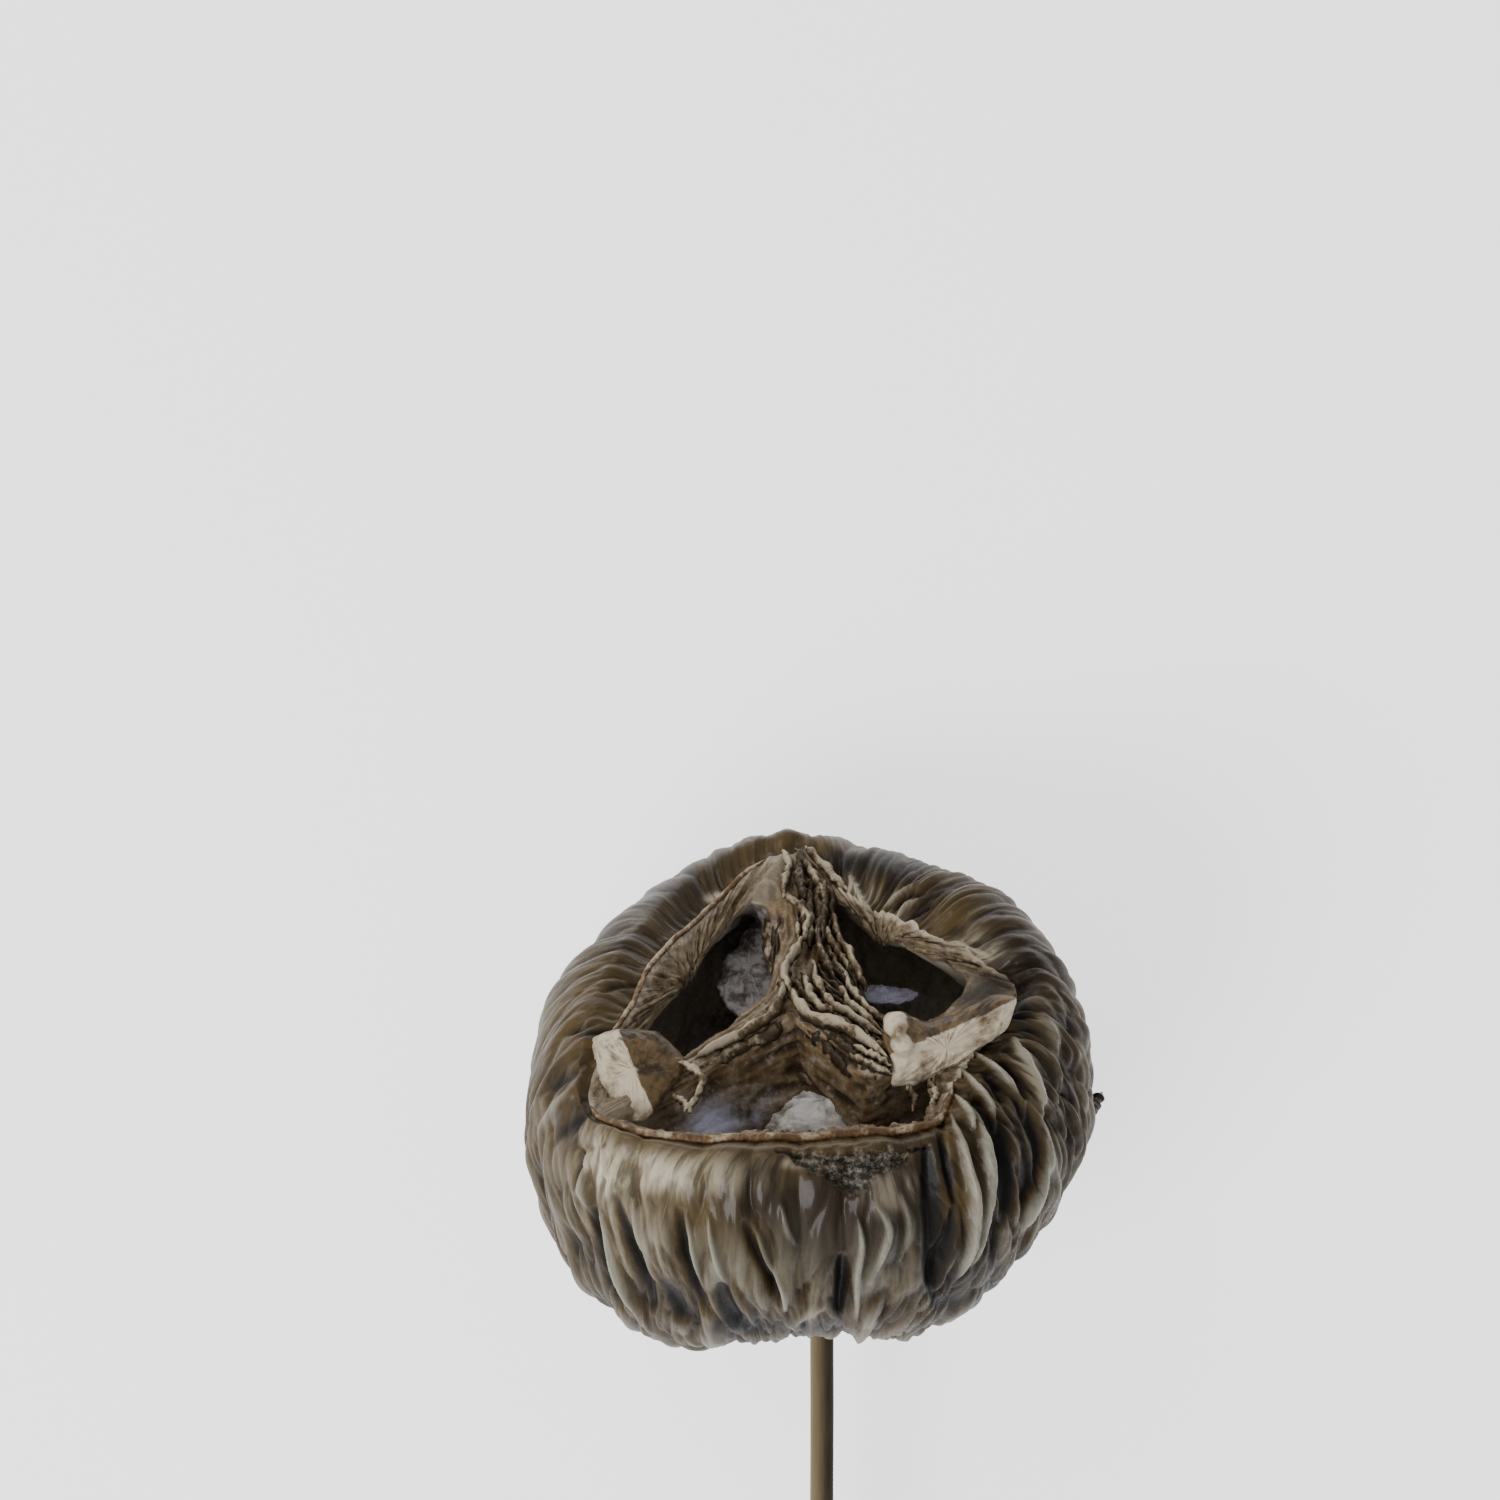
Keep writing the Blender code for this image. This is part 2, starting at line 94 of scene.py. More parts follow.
def closed_curve(degrees: np.ndarray, table: Table) -> np.ndarray:
    """Values at some turns of the closed cubic Hermite curve through a table's rows.

    Args:
        degrees: turns in degrees, from 0 to 360.
        table: rows of a turn and the values there.

    Returns:
        One row of values for each turn.
    """
    rows = np.array(table, float)
    count = len(rows)
    knots = np.concatenate([rows[-2:, 0] - 360.0, rows[:, 0], rows[:2, 0] + 360.0])
    values = np.concatenate([rows[-2:, 1:], rows[:, 1:], rows[:2, 1:]])
    at = np.clip(np.searchsorted(knots, degrees, side="right") - 1, 1, count + 1)
    width = (knots[at + 1] - knots[at])[:, None]
    t = (degrees - knots[at])[:, None] / width
    slope_in = (values[at + 1] - values[at - 1]) / (knots[at + 1] - knots[at - 1])[:, None]
    slope_out = (values[at + 2] - values[at]) / (knots[at + 2] - knots[at])[:, None]
    return (
        (2 * t**3 - 3 * t**2 + 1) * values[at]
        + (t**3 - 2 * t**2 + t) * width * slope_in
        + (3 * t**2 - 2 * t**3) * values[at + 1]
        + (t**3 - t**2) * width * slope_out
    )


def open_curve(points: np.ndarray, t: np.ndarray) -> np.ndarray:
    """Places on the Catmull-Rom line through points.

    Args:
        points: the points, one row each.
        t: how far along the line, 0 to 1.

    Returns:
        One row for each t.
    """
    knots = np.concatenate([[2 * points[0] - points[1]], points, [2 * points[-1] - points[-2]]])
    x = np.clip(t, 0.0, 1.0) * (len(points) - 1)
    at = np.minimum(np.floor(x).astype(int), len(points) - 2)
    f = (x - at)[..., None]
    a, b, c, d = (knots[at + shift] for shift in range(4))
    return 0.5 * (2 * b + (c - a) * f + (2 * a - 5 * b + 4 * c - d) * f**2 + (3 * b - a - 3 * c + d) * f**3)


def smooth_rows(controls: Sequence[np.ndarray], steps: Sequence[int]) -> np.ndarray:
    """Rows of the Catmull-Rom surface through control rows, with steps rows from each control to the next."""
    at = np.concatenate([index + np.arange(count) / count for index, count in enumerate(steps)] + [[len(steps)]])
    stacked = np.array(controls)
    flat = open_curve(stacked.reshape(len(stacked), -1), at / len(steps))
    return flat.reshape(len(at), *stacked.shape[1:])


def value_noise(turn: np.ndarray, along: np.ndarray, columns: int, seed: int) -> np.ndarray:
    """Soft noise from -1 to 1 between the random values of a lattice that closes on itself after 8 rows.

    Args:
        turn: place round the lattice, 0 to 1.
        along: place along it, in lattice rows.
        columns: lattice columns in one round.
        seed: picks the lattice.

    Returns:
        The noise at each place.
    """
    lattice = np.random.default_rng(seed).uniform(-1.0, 1.0, (8, columns))
    x, y = turn * columns, along % 8
    column, row = np.floor(x).astype(int), np.floor(y).astype(int)
    fx, fy = x - column, y - row
    fx, fy = fx * fx * (3 - 2 * fx), fy * fy * (3 - 2 * fy)
    left, right = column % columns, (column + 1) % columns
    low, high = row % 8, (row + 1) % 8
    near = lattice[low, left] * (1 - fx) + lattice[low, right] * fx
    far = lattice[high, left] * (1 - fx) + lattice[high, right] * fx
    return near * (1 - fy) + far * fy


def slope_noise(turn: np.ndarray, along: np.ndarray, columns: int, rows: int, seed: int) -> np.ndarray:
    """Gradient noise of about -1 to 1, closed on itself both ways: it crosses zero once or so in each cell.

    Args:
        turn: place round, in rounds.
        along: place along, in rounds.
        columns: cells in one round of turn.
        rows: cells in one round of along.
        seed: picks the gradients.

    Returns:
        The noise at each place.
    """
    angle = np.random.default_rng(seed).uniform(0.0, math.tau, (rows, columns))
    x, y = turn * columns, along * rows
    column, row = np.floor(x).astype(int), np.floor(y).astype(int)
    fx, fy = x - column, y - row
    wx = fx**3 * (fx * (fx * 6 - 15) + 10)
    wy = fy**3 * (fy * (fy * 6 - 15) + 10)

    def corner(dx: int, dy: int) -> np.ndarray:
        """Height at each place of the slope that stands on one corner of its cell."""
        lean = angle[(row + dy) % rows, (column + dx) % columns]
        return np.cos(lean) * (fx - dx) + np.sin(lean) * (fy - dy)

    near = corner(0, 0) * (1 - wx) + corner(1, 0) * wx
    far = corner(0, 1) * (1 - wx) + corner(1, 1) * wx
    return 1.5 * (near * (1 - wy) + far * wy)


def tangents(line: np.ndarray) -> np.ndarray:
    """Unit directions along a line of points, or along several lines at once: its slope over its length."""
    slope = np.gradient(line, axis=-2)
    return slope / np.linalg.norm(slope, axis=-1, keepdims=True)


def surface_normals(rows: np.ndarray) -> np.ndarray:
    """Unit normals of a grid whose rows close on themselves: the cross product of its two slopes."""
    normal = np.cross(np.gradient(rows, axis=0), np.roll(rows, -1, axis=1) - np.roll(rows, 1, axis=1))
    return normal / np.maximum(np.linalg.norm(normal, axis=2, keepdims=True), 1e-12)


def running_mean(values: np.ndarray, reach: int) -> np.ndarray:
    """Mean of each value of a closed ring and its neighbours within reach."""
    kernel = np.ones(2 * reach + 1) / (2 * reach + 1)
    return np.convolve(np.tile(values, 3), kernel, "same")[len(values) : 2 * len(values)]


def polar(radius: Any, turn: np.ndarray, height: Any) -> np.ndarray:
    """Points at a radius, a turn in radians and a height about the pod's axis."""
    return np.stack([radius * np.cos(turn), radius * np.sin(turn), height + 0 * turn], axis=-1)


def placed(points: np.ndarray) -> np.ndarray:
    """Points of the pod frame in millimetres as world points in metres, none lower than the surface."""
    world = points @ LEVEL * MM + POD_MIDDLE
    world[..., 2] = np.maximum(world[..., 2], 0.0)
    return world


# Drawing in the view from above


@dataclass(frozen=True)
class Picture:
    """The camera's picture, which details are drawn on: 1500 units wide, its own middle at (750, 750)."""

    size: float = 192.0
    units: float = 1500.0
    camera: tuple[float, float, float] = (-7.04, 44.16, 650.0)

    def seen(self, points: np.ndarray) -> np.ndarray:
        """Where points of the pod frame are in the picture, by the rays from the camera."""
        flat = points @ LEVEL
        scale = self.units / self.size * self.camera[2] / (self.camera[2] - flat[..., 2])
        x = 0.5 * self.units + (flat[..., 0] - self.camera[0]) * scale
        y = 0.5 * self.units - (flat[..., 1] - self.camera[1]) * scale
        return np.stack([x, y], axis=-1)

    def lifted(self, drawn: Table) -> np.ndarray:
        """Points of the pod frame that the rays through drawn places meet.

        Args:
            drawn: rows of x and y in the picture and the height in the pod frame.

        Returns:
            One point for each row.
        """
        rows = np.array(drawn, float)
        flat = (rows[:, :2] - 0.5 * self.units) * (self.size / self.units)
        rays = np.stack([flat[:, 0], -flat[:, 1], np.full(len(rows), -self.camera[2])], axis=-1) @ LEVEL.T
        camera = np.array(self.camera) @ LEVEL.T
        return camera + rays * ((rows[:, 2] - camera[2]) / rays[:, 2])[:, None]


PICTURE = Picture()


@dataclass(frozen=True)
class Stroke:
    """A ridge or groove of the skin, drawn as a line: its half width in picture units, its height in millimetres."""

    half_width: float
    height: float
    line: Table

    def reach(self, seen: np.ndarray) -> np.ndarray:
        """How strongly the stroke is felt at each place: exp(-(d / w)^2) of the distance d to the line.

        Args:
            seen: places in the picture, one row each.

        Returns:
            1 on the line, fading to its sides and ends.
        """
        line = open_curve(np.array(self.line, float), np.linspace(0.0, 1.0, 13))
        nearest, along = np.full(len(seen), 1e9), np.zeros(len(seen))
        for index in range(len(line) - 1):
            step = line[index + 1] - line[index]
            t = np.clip((seen - line[index]) @ step / (step @ step), 0.0, 1.0)
            distance = np.linalg.norm(seen - line[index] - t[:, None] * step, axis=1)
            along = np.where(distance < nearest, (index + t) / (len(line) - 1), along)
            nearest = np.minimum(nearest, distance)
        taper = np.sin(np.pi * np.clip(along, 0.0, 1.0)) ** 0.5
        return taper * np.exp(-((nearest / (self.half_width * (0.35 + 0.65 * taper))) ** 2))


def spots(seen: np.ndarray, table: Table) -> np.ndarray:
    """Soft spots drawn in the picture, summed up to 1: each is exp(-r^3) of the distance r in its own half sizes.

    Args:
        seen: places in the picture.
        table: rows of x, y, half width, half height and strength.

    Returns:
        The strength at each place.
    """
    total = np.zeros(seen.shape[:-1])
    for x, y, wide, high, strength in table:
        square = ((seen[..., 0] - x) / wide) ** 2 + ((seen[..., 1] - y) / high) ** 2
        total += strength * np.exp(-(np.minimum(square, 16.0) ** 1.5))
    return np.clip(total, 0.0, 1.0)


# Meshes


@dataclass
class Surface:
    """Points, faces and values of one piece, gathered before its mesh is made."""

    points: np.ndarray
    faces: list[tuple[int, ...]]
    values: Values

    @staticmethod
    def closed_grid(rows: np.ndarray, values: Values, flip: bool = False) -> Surface:
        """A grid whose rows close on themselves and whose last row is one point.

        Args:
            rows: points, rows by columns by 3.
            values: named values, rows by columns.
            flip: turns the faces round.

        Returns:
            The surface, with triangles at its last point.
        """
        count, sides = rows.shape[0] - 1, rows.shape[1]
        index = np.arange(count * sides).reshape(count, sides)
        ahead = np.roll(index, -1, axis=1)
        quads = np.stack([index[:-1], index[1:], ahead[1:], ahead[:-1]], axis=-1).reshape(-1, 4)
        fan = np.stack([index[-1], np.full(sides, count * sides), ahead[-1]], axis=-1)
        if flip:
            quads, fan = quads[:, ::-1], fan[:, ::-1]
        faces = [tuple(face) for part in (quads, fan) for face in part.tolist()]
        points = np.concatenate([rows[:-1].reshape(-1, 3), rows[-1, :1]])
        flat = {name: np.append(value[:-1].ravel(), value[-1, 0]) for name, value in values.items()}
        return Surface(points, faces, flat)

    @staticmethod
    def tubes(rings: np.ndarray, values: Values) -> Surface:
        """Several tubes through rings of points, each end closed at the middle of its ring.

        Args:
            rings: points, tubes by rings by sides by 3.
            values: named values, tubes by rings by sides.

        Returns:
            The surface of all tubes.
        """
        tubes, count, sides, _ = rings.shape
        index = np.arange(tubes * count * sides).reshape(tubes, count, sides)
        ahead = np.roll(index, -1, axis=2)
        quads = np.stack([index[:, :-1], ahead[:, :-1], ahead[:, 1:], index[:, 1:]], axis=-1).reshape(-1, 4)
        tips = index.size + np.arange(2 * tubes).reshape(2, tubes, 1) + np.zeros((1, 1, sides), int)
        first = np.stack([tips[0], ahead[:, 0], index[:, 0]], axis=-1).reshape(-1, 3)
        last = np.stack([tips[1], index[:, -1], ahead[:, -1]], axis=-1).reshape(-1, 3)
        faces = [tuple(face) for part in (quads, first, last) for face in part.tolist()]
        ends = [rings.reshape(-1, 3), rings[:, 0].mean(axis=1), rings[:, -1].mean(axis=1)]
        flat = {}
        for name, value in values.items():
            flat[name] = np.concatenate([value.ravel(), value[:, 0, 0], value[:, -1, 0]])
        return Surface(np.concatenate(ends), faces, flat)

    def joined(self, other: Surface) -> Surface:
        """This surface and another as one, with the values that both have."""
        shift = len(self.points)
        faces = self.faces + [tuple(corner + shift for corner in face) for face in other.faces]
        shared = {name: np.concatenate([self.values[name], other.values[name]]) for name in self.values}
        return Surface(np.concatenate([self.points, other.points]), faces, shared)

    def piece(self, name: str, node: str, finish: Finish) -> bpy.types.Object:
        """Makes the object, gives it its finish, hangs it under the root body and hides its CAD node.

        Args:
            name: the object's name.
            node: the CAD node that it stands for.
            finish: its finish.

        Returns:
            The new object, at the origin.
        """
        mesh = bpy.data.meshes.new(name)
        mesh.from_pydata(placed(self.points).tolist(), [], self.faces)
        for label, values in self.values.items():
            attribute = mesh.attributes.new(label, "FLOAT", "POINT")
            attribute.data.foreach_set("value", np.ascontiguousarray(values, dtype=np.float32))
        mesh.shade_smooth()
        mesh.update()
        made = bpy.data.objects.new(name, mesh)
        bpy.context.scene.collection.objects.link(made)
        mesh.materials.append(finish.material())
        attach(made, "root")
        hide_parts(node)
        LOG.info("%s: %d points, %d faces, stands for %s", name, len(self.points), len(self.faces), node)
        return made


# Shader maths


@dataclass(frozen=True)
class Value:
    """A socket that takes part in sums: each operator adds a Math node to its graph."""

    graph: Graph
    socket: Any

    def __add__(self, other: Any) -> Value:
        """This plus other."""
        return self.graph.math("ADD", self, other)

    __radd__ = __add__

    def __sub__(self, other: Any) -> Value:
        """This minus other."""
        return self.graph.math("SUBTRACT", self, other)

    def __rsub__(self, other: Any) -> Value:
        """Other minus this."""
        return self.graph.math("SUBTRACT", other, self)

    def __mul__(self, other: Any) -> Value:
        """This times other."""
        return self.graph.math("MULTIPLY", self, other)

    __rmul__ = __mul__

    def step(self, low: float, high: float) -> Value:
        """This eased from 0 at low to 1 at high."""
        settings = {"interpolation_type": "SMOOTHSTEP"}
        made = self.graph.node("ShaderNodeMapRange", settings, {"Value": self, "From Min": low, "From Max": high})
        return Value(self.graph, made.outputs["Result"])


class Graph:
    """The node tree of one material, built from expressions."""

    def __init__(self, material: bpy.types.Material) -> None:
        """Starts an empty tree.

        Args:
            material: the material that the tree belongs to.
        """
        self.tree = material.node_tree
        self.tree.nodes.clear()

    def node(self, kind: str, settings: dict[str, Any], values: dict[Any, Any]) -> bpy.types.Node:
        """Adds any node.

        Args:
            kind: the node's type.
            settings: its properties, set first.
            values: a number, colour or link for each named or numbered socket.

        Returns:
            The new node.
        """
        made = self.tree.nodes.new(kind)
        for name, setting in settings.items():
            setattr(made, name, setting)
        for name, value in values.items():
            socket = made.inputs[name]
            if isinstance(value, Value):
                self.tree.links.new(value.socket, socket)
            else:
                socket.default_value = value
        return made

    def math(self, operation: str, *values: Any) -> Value:
        """Adds a Math node.

        Args:
            operation: what it does.
            values: its numbers or links.

        Returns:
            Its result.
        """
        made = self.node("ShaderNodeMath", {"operation": operation}, dict(enumerate(values)))
        return Value(self, made.outputs[0])

    def stored(self, name: str) -> Value:
        """The piece's own value of this name at each point."""
        made = self.node("ShaderNodeAttribute", {"attribute_name": name}, {})
        return Value(self, made.outputs["Fac"])

    def place(self, scale: tuple[float, float, float] = (1.0, 1.0, 1.0)) -> Value:
        """Object coordinates in millimetres, stretched by scale."""
        where = self.node("ShaderNodeTexCoord", {}, {})
        size = tuple(part / MM for part in scale)
        made = self.node("ShaderNodeMapping", {}, {"Vector": Value(self, where.outputs["Object"]), "Scale": size})
        return Value(self, made.outputs["Vector"])

    def meridian(self, stretch: float) -> Value:
        """Places that run with the husk's turn, and stretch times as slowly from its rim to its stalk end."""
        values = {0: self.stored("round_x"), 1: self.stored("round_y"), 2: self.stored("down") * (1.0 / stretch)}
        return Value(self, self.node("ShaderNodeCombineXYZ", {}, values).outputs[0])

    def noise(self, where: Value, scale: float, detail: float = 3.0, roughness: float = 0.55) -> Value:
        """Noise of 0 to 1 at these places.

        Args:
            where: the places.
            scale: cells in one millimetre.
            detail: octaves.
            roughness: strength of the finer octaves.

        Returns:
            The noise.
        """
        values = {"Vector": where, "Scale": scale, "Detail": detail, "Roughness": roughness}
        return Value(self, self.node("ShaderNodeTexNoise", {}, values).outputs["Fac"])

    def mix(self, factor: Any, low: Any, high: Any) -> Value:
        """Colour from low, at a factor of 0, to high, at 1."""
        made = self.node("ShaderNodeMix", {"data_type": "RGBA"}, {0: factor, 6: low, 7: high})
        return Value(self, made.outputs[2])

    def bump(self, height: Value, strength: float, distance: float, under: Value | None = None) -> Value:
        """A normal that height raises.

        Args:
            height: 0 to 1.
            strength: share of the effect.
            distance: depth of the relief in millimetres.
            under: another bump below this one.

        Returns:
            The normal.
        """
        values: dict[Any, Any] = {"Height": height, "Strength": strength, "Distance": distance * MM}
        if under is not None:
            values["Normal"] = under
        return Value(self, self.node("ShaderNodeBump", {}, values).outputs["Normal"])

    def finish(self, values: dict[Any, Any]) -> None:
        """Ends the tree in a Principled shader with these values."""
        shader = self.node("ShaderNodeBsdfPrincipled", {}, values)
        self.node("ShaderNodeOutputMaterial", {}, {"Surface": Value(self, shader.outputs["BSDF"])})


# Finishes


@dataclass(frozen=True)
class Finish:
    """One finish of the pod: a material and the record's slot that it belongs to."""

    name: str = "finish"
    slot: str = "dried_husk"

    def shade(self, graph: Graph) -> None:
        """Builds the material's nodes.

        Args:
            graph: the empty tree.
        """
        raise NotImplementedError

    def material(self) -> bpy.types.Material:
        """The finish's material, made the first time that it is asked for."""
        known = bpy.data.materials.get(self.name)
        if known is not None:
            return known
        made = bpy.data.materials.new(self.name)
        made.use_nodes = True
        self.shade(Graph(made))
        return made


@dataclass(frozen=True)
class VarnishedSkin(Finish):
    """Brown husk skin under clear varnish, with painted shade in its wrinkles and painted pale grey sheen on ridges."""

    name: str = "varnished_skin"
    groove: tuple = srgb(12, 8, 4)
    umber: tuple = srgb(42, 30, 14)
    olive: tuple = srgb(84, 67, 36)
    ash: tuple = srgb(114, 110, 94)
    cream: tuple = srgb(200, 188, 160)
    frost: tuple = srgb(172, 168, 150)
    dark: tuple = srgb(16, 12, 9)

    def shade(self, graph: Graph) -> None:
        """Colour follows the relief: painted shade in grooves, brown and olive slopes, ash and cream ridges, partly
        painted sheen.

        Args:
            graph: the empty tree.
        """
        where = graph.place()
        relief, sheen_and_pale = graph.stored("relief"), graph.stored("sheen_and_pale")
        cream_and_highlight, brown, dark = graph.stored("cream_and_highlight"), graph.stored("brown"), graph.stored("dark")
        streaks = graph.noise(graph.meridian(9.0), 0.75, 4.0)
        threads = graph.noise(graph.meridian(14.0), 2.6, 3.0)
        blotch = graph.noise(where, 0.12, 3.0)
        grit = graph.noise(where, 1.7, 5.0, 0.65)
        # the tone is a little lighter where the relief is raised: painted light on the ridges
        tone = 0.9 * streaks + 0.5 * blotch + 0.12 * threads + 0.35 * relief - 0.55 * brown
        base = graph.mix(tone.step(0.62, 1.18), self.umber, self.olive)
        # painted grey sheen: crests low on the husk turn ash, standing in for the varnish's reflection, partly paler
        # skin there
        crest = (relief + 0.6 * (streaks - 0.5) + 0.2 * (threads - 0.5) + 0.2 * (grit - 0.5)).step(0.42, 0.95)
        base = graph.mix(crest * sheen_and_pale * (1.0 - 0.55 * brown), base, self.ash)
        # cream patches drawn in the picture: partly the skin's own pale tone, partly painted highlight on the front
        # band and the rim's lobes
        pale = (relief + 1.8 * (streaks - 0.5) + 0.3 * (threads - 0.5)).step(0.55, 1.05)
        base = graph.mix(cream_and_highlight * (0.15 + 0.85 * pale), base, self.cream)
        # painted highlight: drawn ridges turn pale frost grey along their crests
        ridge_sheen = graph.stored("ridge") * (0.35 + 1.3 * (streaks - 0.5) + 0.4 * (threads - 0.5) + 0.6 * grit)
        base = graph.mix(ridge_sheen, base, self.frost)
        # painted shade: low parts of the relief, the wrinkles' grooves, are darkened towards the groove colour
        low = 1.0 - (relief + 0.25 * (grit - 0.5) + 0.2 * (threads - 0.5)).step(0.05, 0.55)
        base = graph.mix(low * 0.92, base, self.groove)
        # painted shade: dark spots drawn in the picture, and the torn split's dark inside, partly painted shade of the
        # crack
        base = graph.mix((dark + 0.5 * (blotch - 0.5) * dark).step(0.1, 1.0) * 0.9, base, self.dark)
        # painted glints: grey specks in the torn split
        base = graph.mix(graph.stored("split") * grit.step(0.42, 0.78) * 0.55, base, self.frost)
        shape = graph.bump(streaks + 0.12 * threads, 0.45, 0.35)
        graph.finish(
            {
                "Base Color": base,
                "Roughness": 0.42 + 0.3 * grit,
                "Specular IOR Level": 0.2,
                "Coat Weight": 0.05 + 0.35 * relief.step(0.3, 0.9) * blotch,
                "Coat Roughness": 0.16,
                "Normal": graph.bump(grit, 0.35, 0.2, shape),
            }
        )


@dataclass(frozen=True)
class CutHusk(Finish):
    """Inside of the husk: torn pale cut face, brown fibrous walls and the shiny grey lining of the chambers."""

    name: str = "cut_husk"
    tan: tuple = srgb(146, 128, 100)
    pale: tuple = srgb(188, 174, 150)
    brown: tuple = srgb(62, 48, 32)
    fibre: tuple = srgb(128, 106, 74)
    lining: tuple = srgb(172, 164, 160)
    lilac: tuple = srgb(222, 222, 250)
    deep: tuple = srgb(176, 168, 150)
    dark: tuple = srgb(30, 22, 17)

    def shade(self, graph: Graph) -> None:
        """Mixes cut face, inner walls, lining and dark hollows of painted shadow by the piece's own masks.

        Args:
            graph: the empty tree.
        """
        where = graph.place()
        cut, wall, strand = graph.stored("cut"), graph.stored("wall"), graph.stored("strand")
        relief, lit, glint = graph.stored("relief"), graph.stored("lining"), graph.stored("glint")
        shadow = graph.stored("shadow")
        grit = graph.noise(where, 1.1, 6.0, 0.65)
        blotch = graph.noise(where, 0.3, 4.0)
        face = graph.mix((0.3 * relief + 0.9 * grit + 0.4 * blotch).step(0.5, 1.0), self.brown, self.tan)
        face = graph.mix((graph.stored("edge") + grit + 0.4 * (blotch - 0.5)).step(0.95, 1.5), face, self.pale)
        wood = graph.mix((0.8 * strand + 0.9 * grit + 0.9 * blotch).step(1.0, 1.7), self.brown, self.fibre)
        wood = graph.mix((strand + grit + blotch - 0.3).step(1.4, 1.9), wood, self.tan)
        wood = graph.mix((grit + 0.6 * (blotch - 0.5)).step(0.52, 0.74) * 0.6, wood, self.lining)
        film = graph.mix((0.7 * blotch + 0.5 * grit).step(0.42, 0.75), self.brown, self.lining)
        # painted light: walls deep in the chambers take the deep colour, their own tan lightened where little light
        # reaches
        base = graph.mix(wall, self.deep, wood)
        base = graph.mix(lit, base, film)
        base = graph.mix(glint, base, self.lilac)
        base = graph.mix(cut, base, face)
        base = graph.mix((shadow + 0.5 * (blotch - 0.5) * shadow).step(0.1, 1.0) * 0.85, base, self.dark)
        graph.finish(
            {
                "Base Color": base,
                "Roughness": 0.35 + 0.35 * grit,
                "Specular IOR Level": 0.25,
                "Coat Weight": 0.1 + 0.5 * lit,
                "Coat Roughness": 0.12,
                "Normal": graph.bump(grit + 0.6 * blotch, 0.6, 0.4),
            }
        )


@dataclass(frozen=True)
class TornFibre(Finish):
    """Tan to brown strands of torn fibre, with painted shade dark in their gaps, and a little varnish."""

    name: str = "torn_fibre"
    gap: tuple = srgb(24, 17, 9)
    brown: tuple = srgb(54, 41, 23)
    tan: tuple = srgb(90, 73, 46)
    pale: tuple = srgb(176, 161, 134)

    def shade(self, graph: Graph) -> None:
        """Each strand has its own tone, painted lighter on its crown and painted dark on its underside.

        Args:
            graph: the empty tree.
        """
        where = graph.place()
        tone, crown = graph.stored("tone"), graph.stored("crown")
        grit = graph.noise(where, 1.5, 5.0, 0.6)
        patch = graph.noise(where, 0.35, 3.0)
        base = graph.mix((tone + 0.8 * (grit - 0.5) + 0.9 * (patch - 0.5)).step(0.15, 0.75), self.brown, self.tan)
        # pale: partly noise patches, partly painted highlight on each strand's crown
        base = graph.mix((tone + 0.6 * crown + 1.2 * grit + 2.4 * patch).step(2.75, 3.35), base, self.pale)
        # painted shade: each strand goes dark away from its crown, on its sides and underside, towards the gap colour
        base = graph.mix(0.9 * (1.0 - (crown + 0.5 * (grit - 0.5)).step(0.25, 0.8)), base, self.gap)
        graph.finish(
            {
                "Base Color": base,
                "Roughness": 0.4 + 0.3 * grit,
                "Specular IOR Level": 0.25,
                "Coat Weight": 0.3 * crown,
                "Coat Roughness": 0.15,
                "Normal": graph.bump(grit + patch, 0.6, 0.35),
            }
        )


@dataclass(frozen=True)
class RolledFibre(TornFibre):
    """Warm brown rolled edge of the rim."""

    name: str = "rolled_fibre"
    gap: tuple = srgb(34, 20, 9)
    brown: tuple = srgb(78, 53, 27)
    tan: tuple = srgb(124, 95, 58)
    pale: tuple = srgb(186, 168, 138)


@dataclass(frozen=True)
class TornFlesh(Finish):
    """Torn flaps and the scrap of lining: cream or grey on the torn side, brown on the skin side."""

    name: str = "torn_flesh"
    skin: tuple = srgb(54, 40, 19)
    stain: tuple = srgb(104, 82, 50)
    cream: tuple = srgb(208, 193, 166)
    hollow: tuple = srgb(34, 26, 16)

    def shade(self, graph: Graph) -> None:
        """Mixes skin and torn flesh by the piece's own mask, with painted shade darkening its hollows.

        Args:
            graph: the empty tree.
        """
        where = graph.place()
        torn, relief = graph.stored("torn"), graph.stored("relief")
        grit = graph.noise(where, 1.2, 6.0, 0.62)
        blotch = graph.noise(where, 0.3, 3.0)
        outside = graph.mix((blotch + 0.4 * (grit - 0.5)).step(0.35, 0.65), self.skin, self.stain)
        inside = graph.mix((blotch + 0.25 * (grit - 0.5)).step(0.2, 0.6), self.stain, self.cream)
        base = graph.mix((torn + 0.3 * (grit - 0.5)).step(0.3, 0.7), outside, inside)
        # painted shade: low parts of the rough surface are darkened towards the hollow colour
        base = graph.mix(0.7 * (1.0 - (relief + 0.3 * (grit - 0.5)).step(-0.1, 0.35)), base, self.hollow)
        graph.finish(
            {
                "Base Color": base,
                "Roughness": 0.4 + 0.25 * grit,
                "Specular IOR Level": 0.3,
                "Coat Weight": 0.15,
                "Coat Roughness": 0.14,
                "Normal": graph.bump(grit, 0.5, 0.3),
            }
        )


@dataclass(frozen=True)
class GreyLining(TornFlesh):
    """Rough pale grey scrap of seed lining."""

    name: str = "grey_lining"
    skin: tuple = srgb(160, 152, 142)
    stain: tuple = srgb(196, 188, 180)
    cream: tuple = srgb(246, 242, 238)
    hollow: tuple = srgb(84, 72, 60)


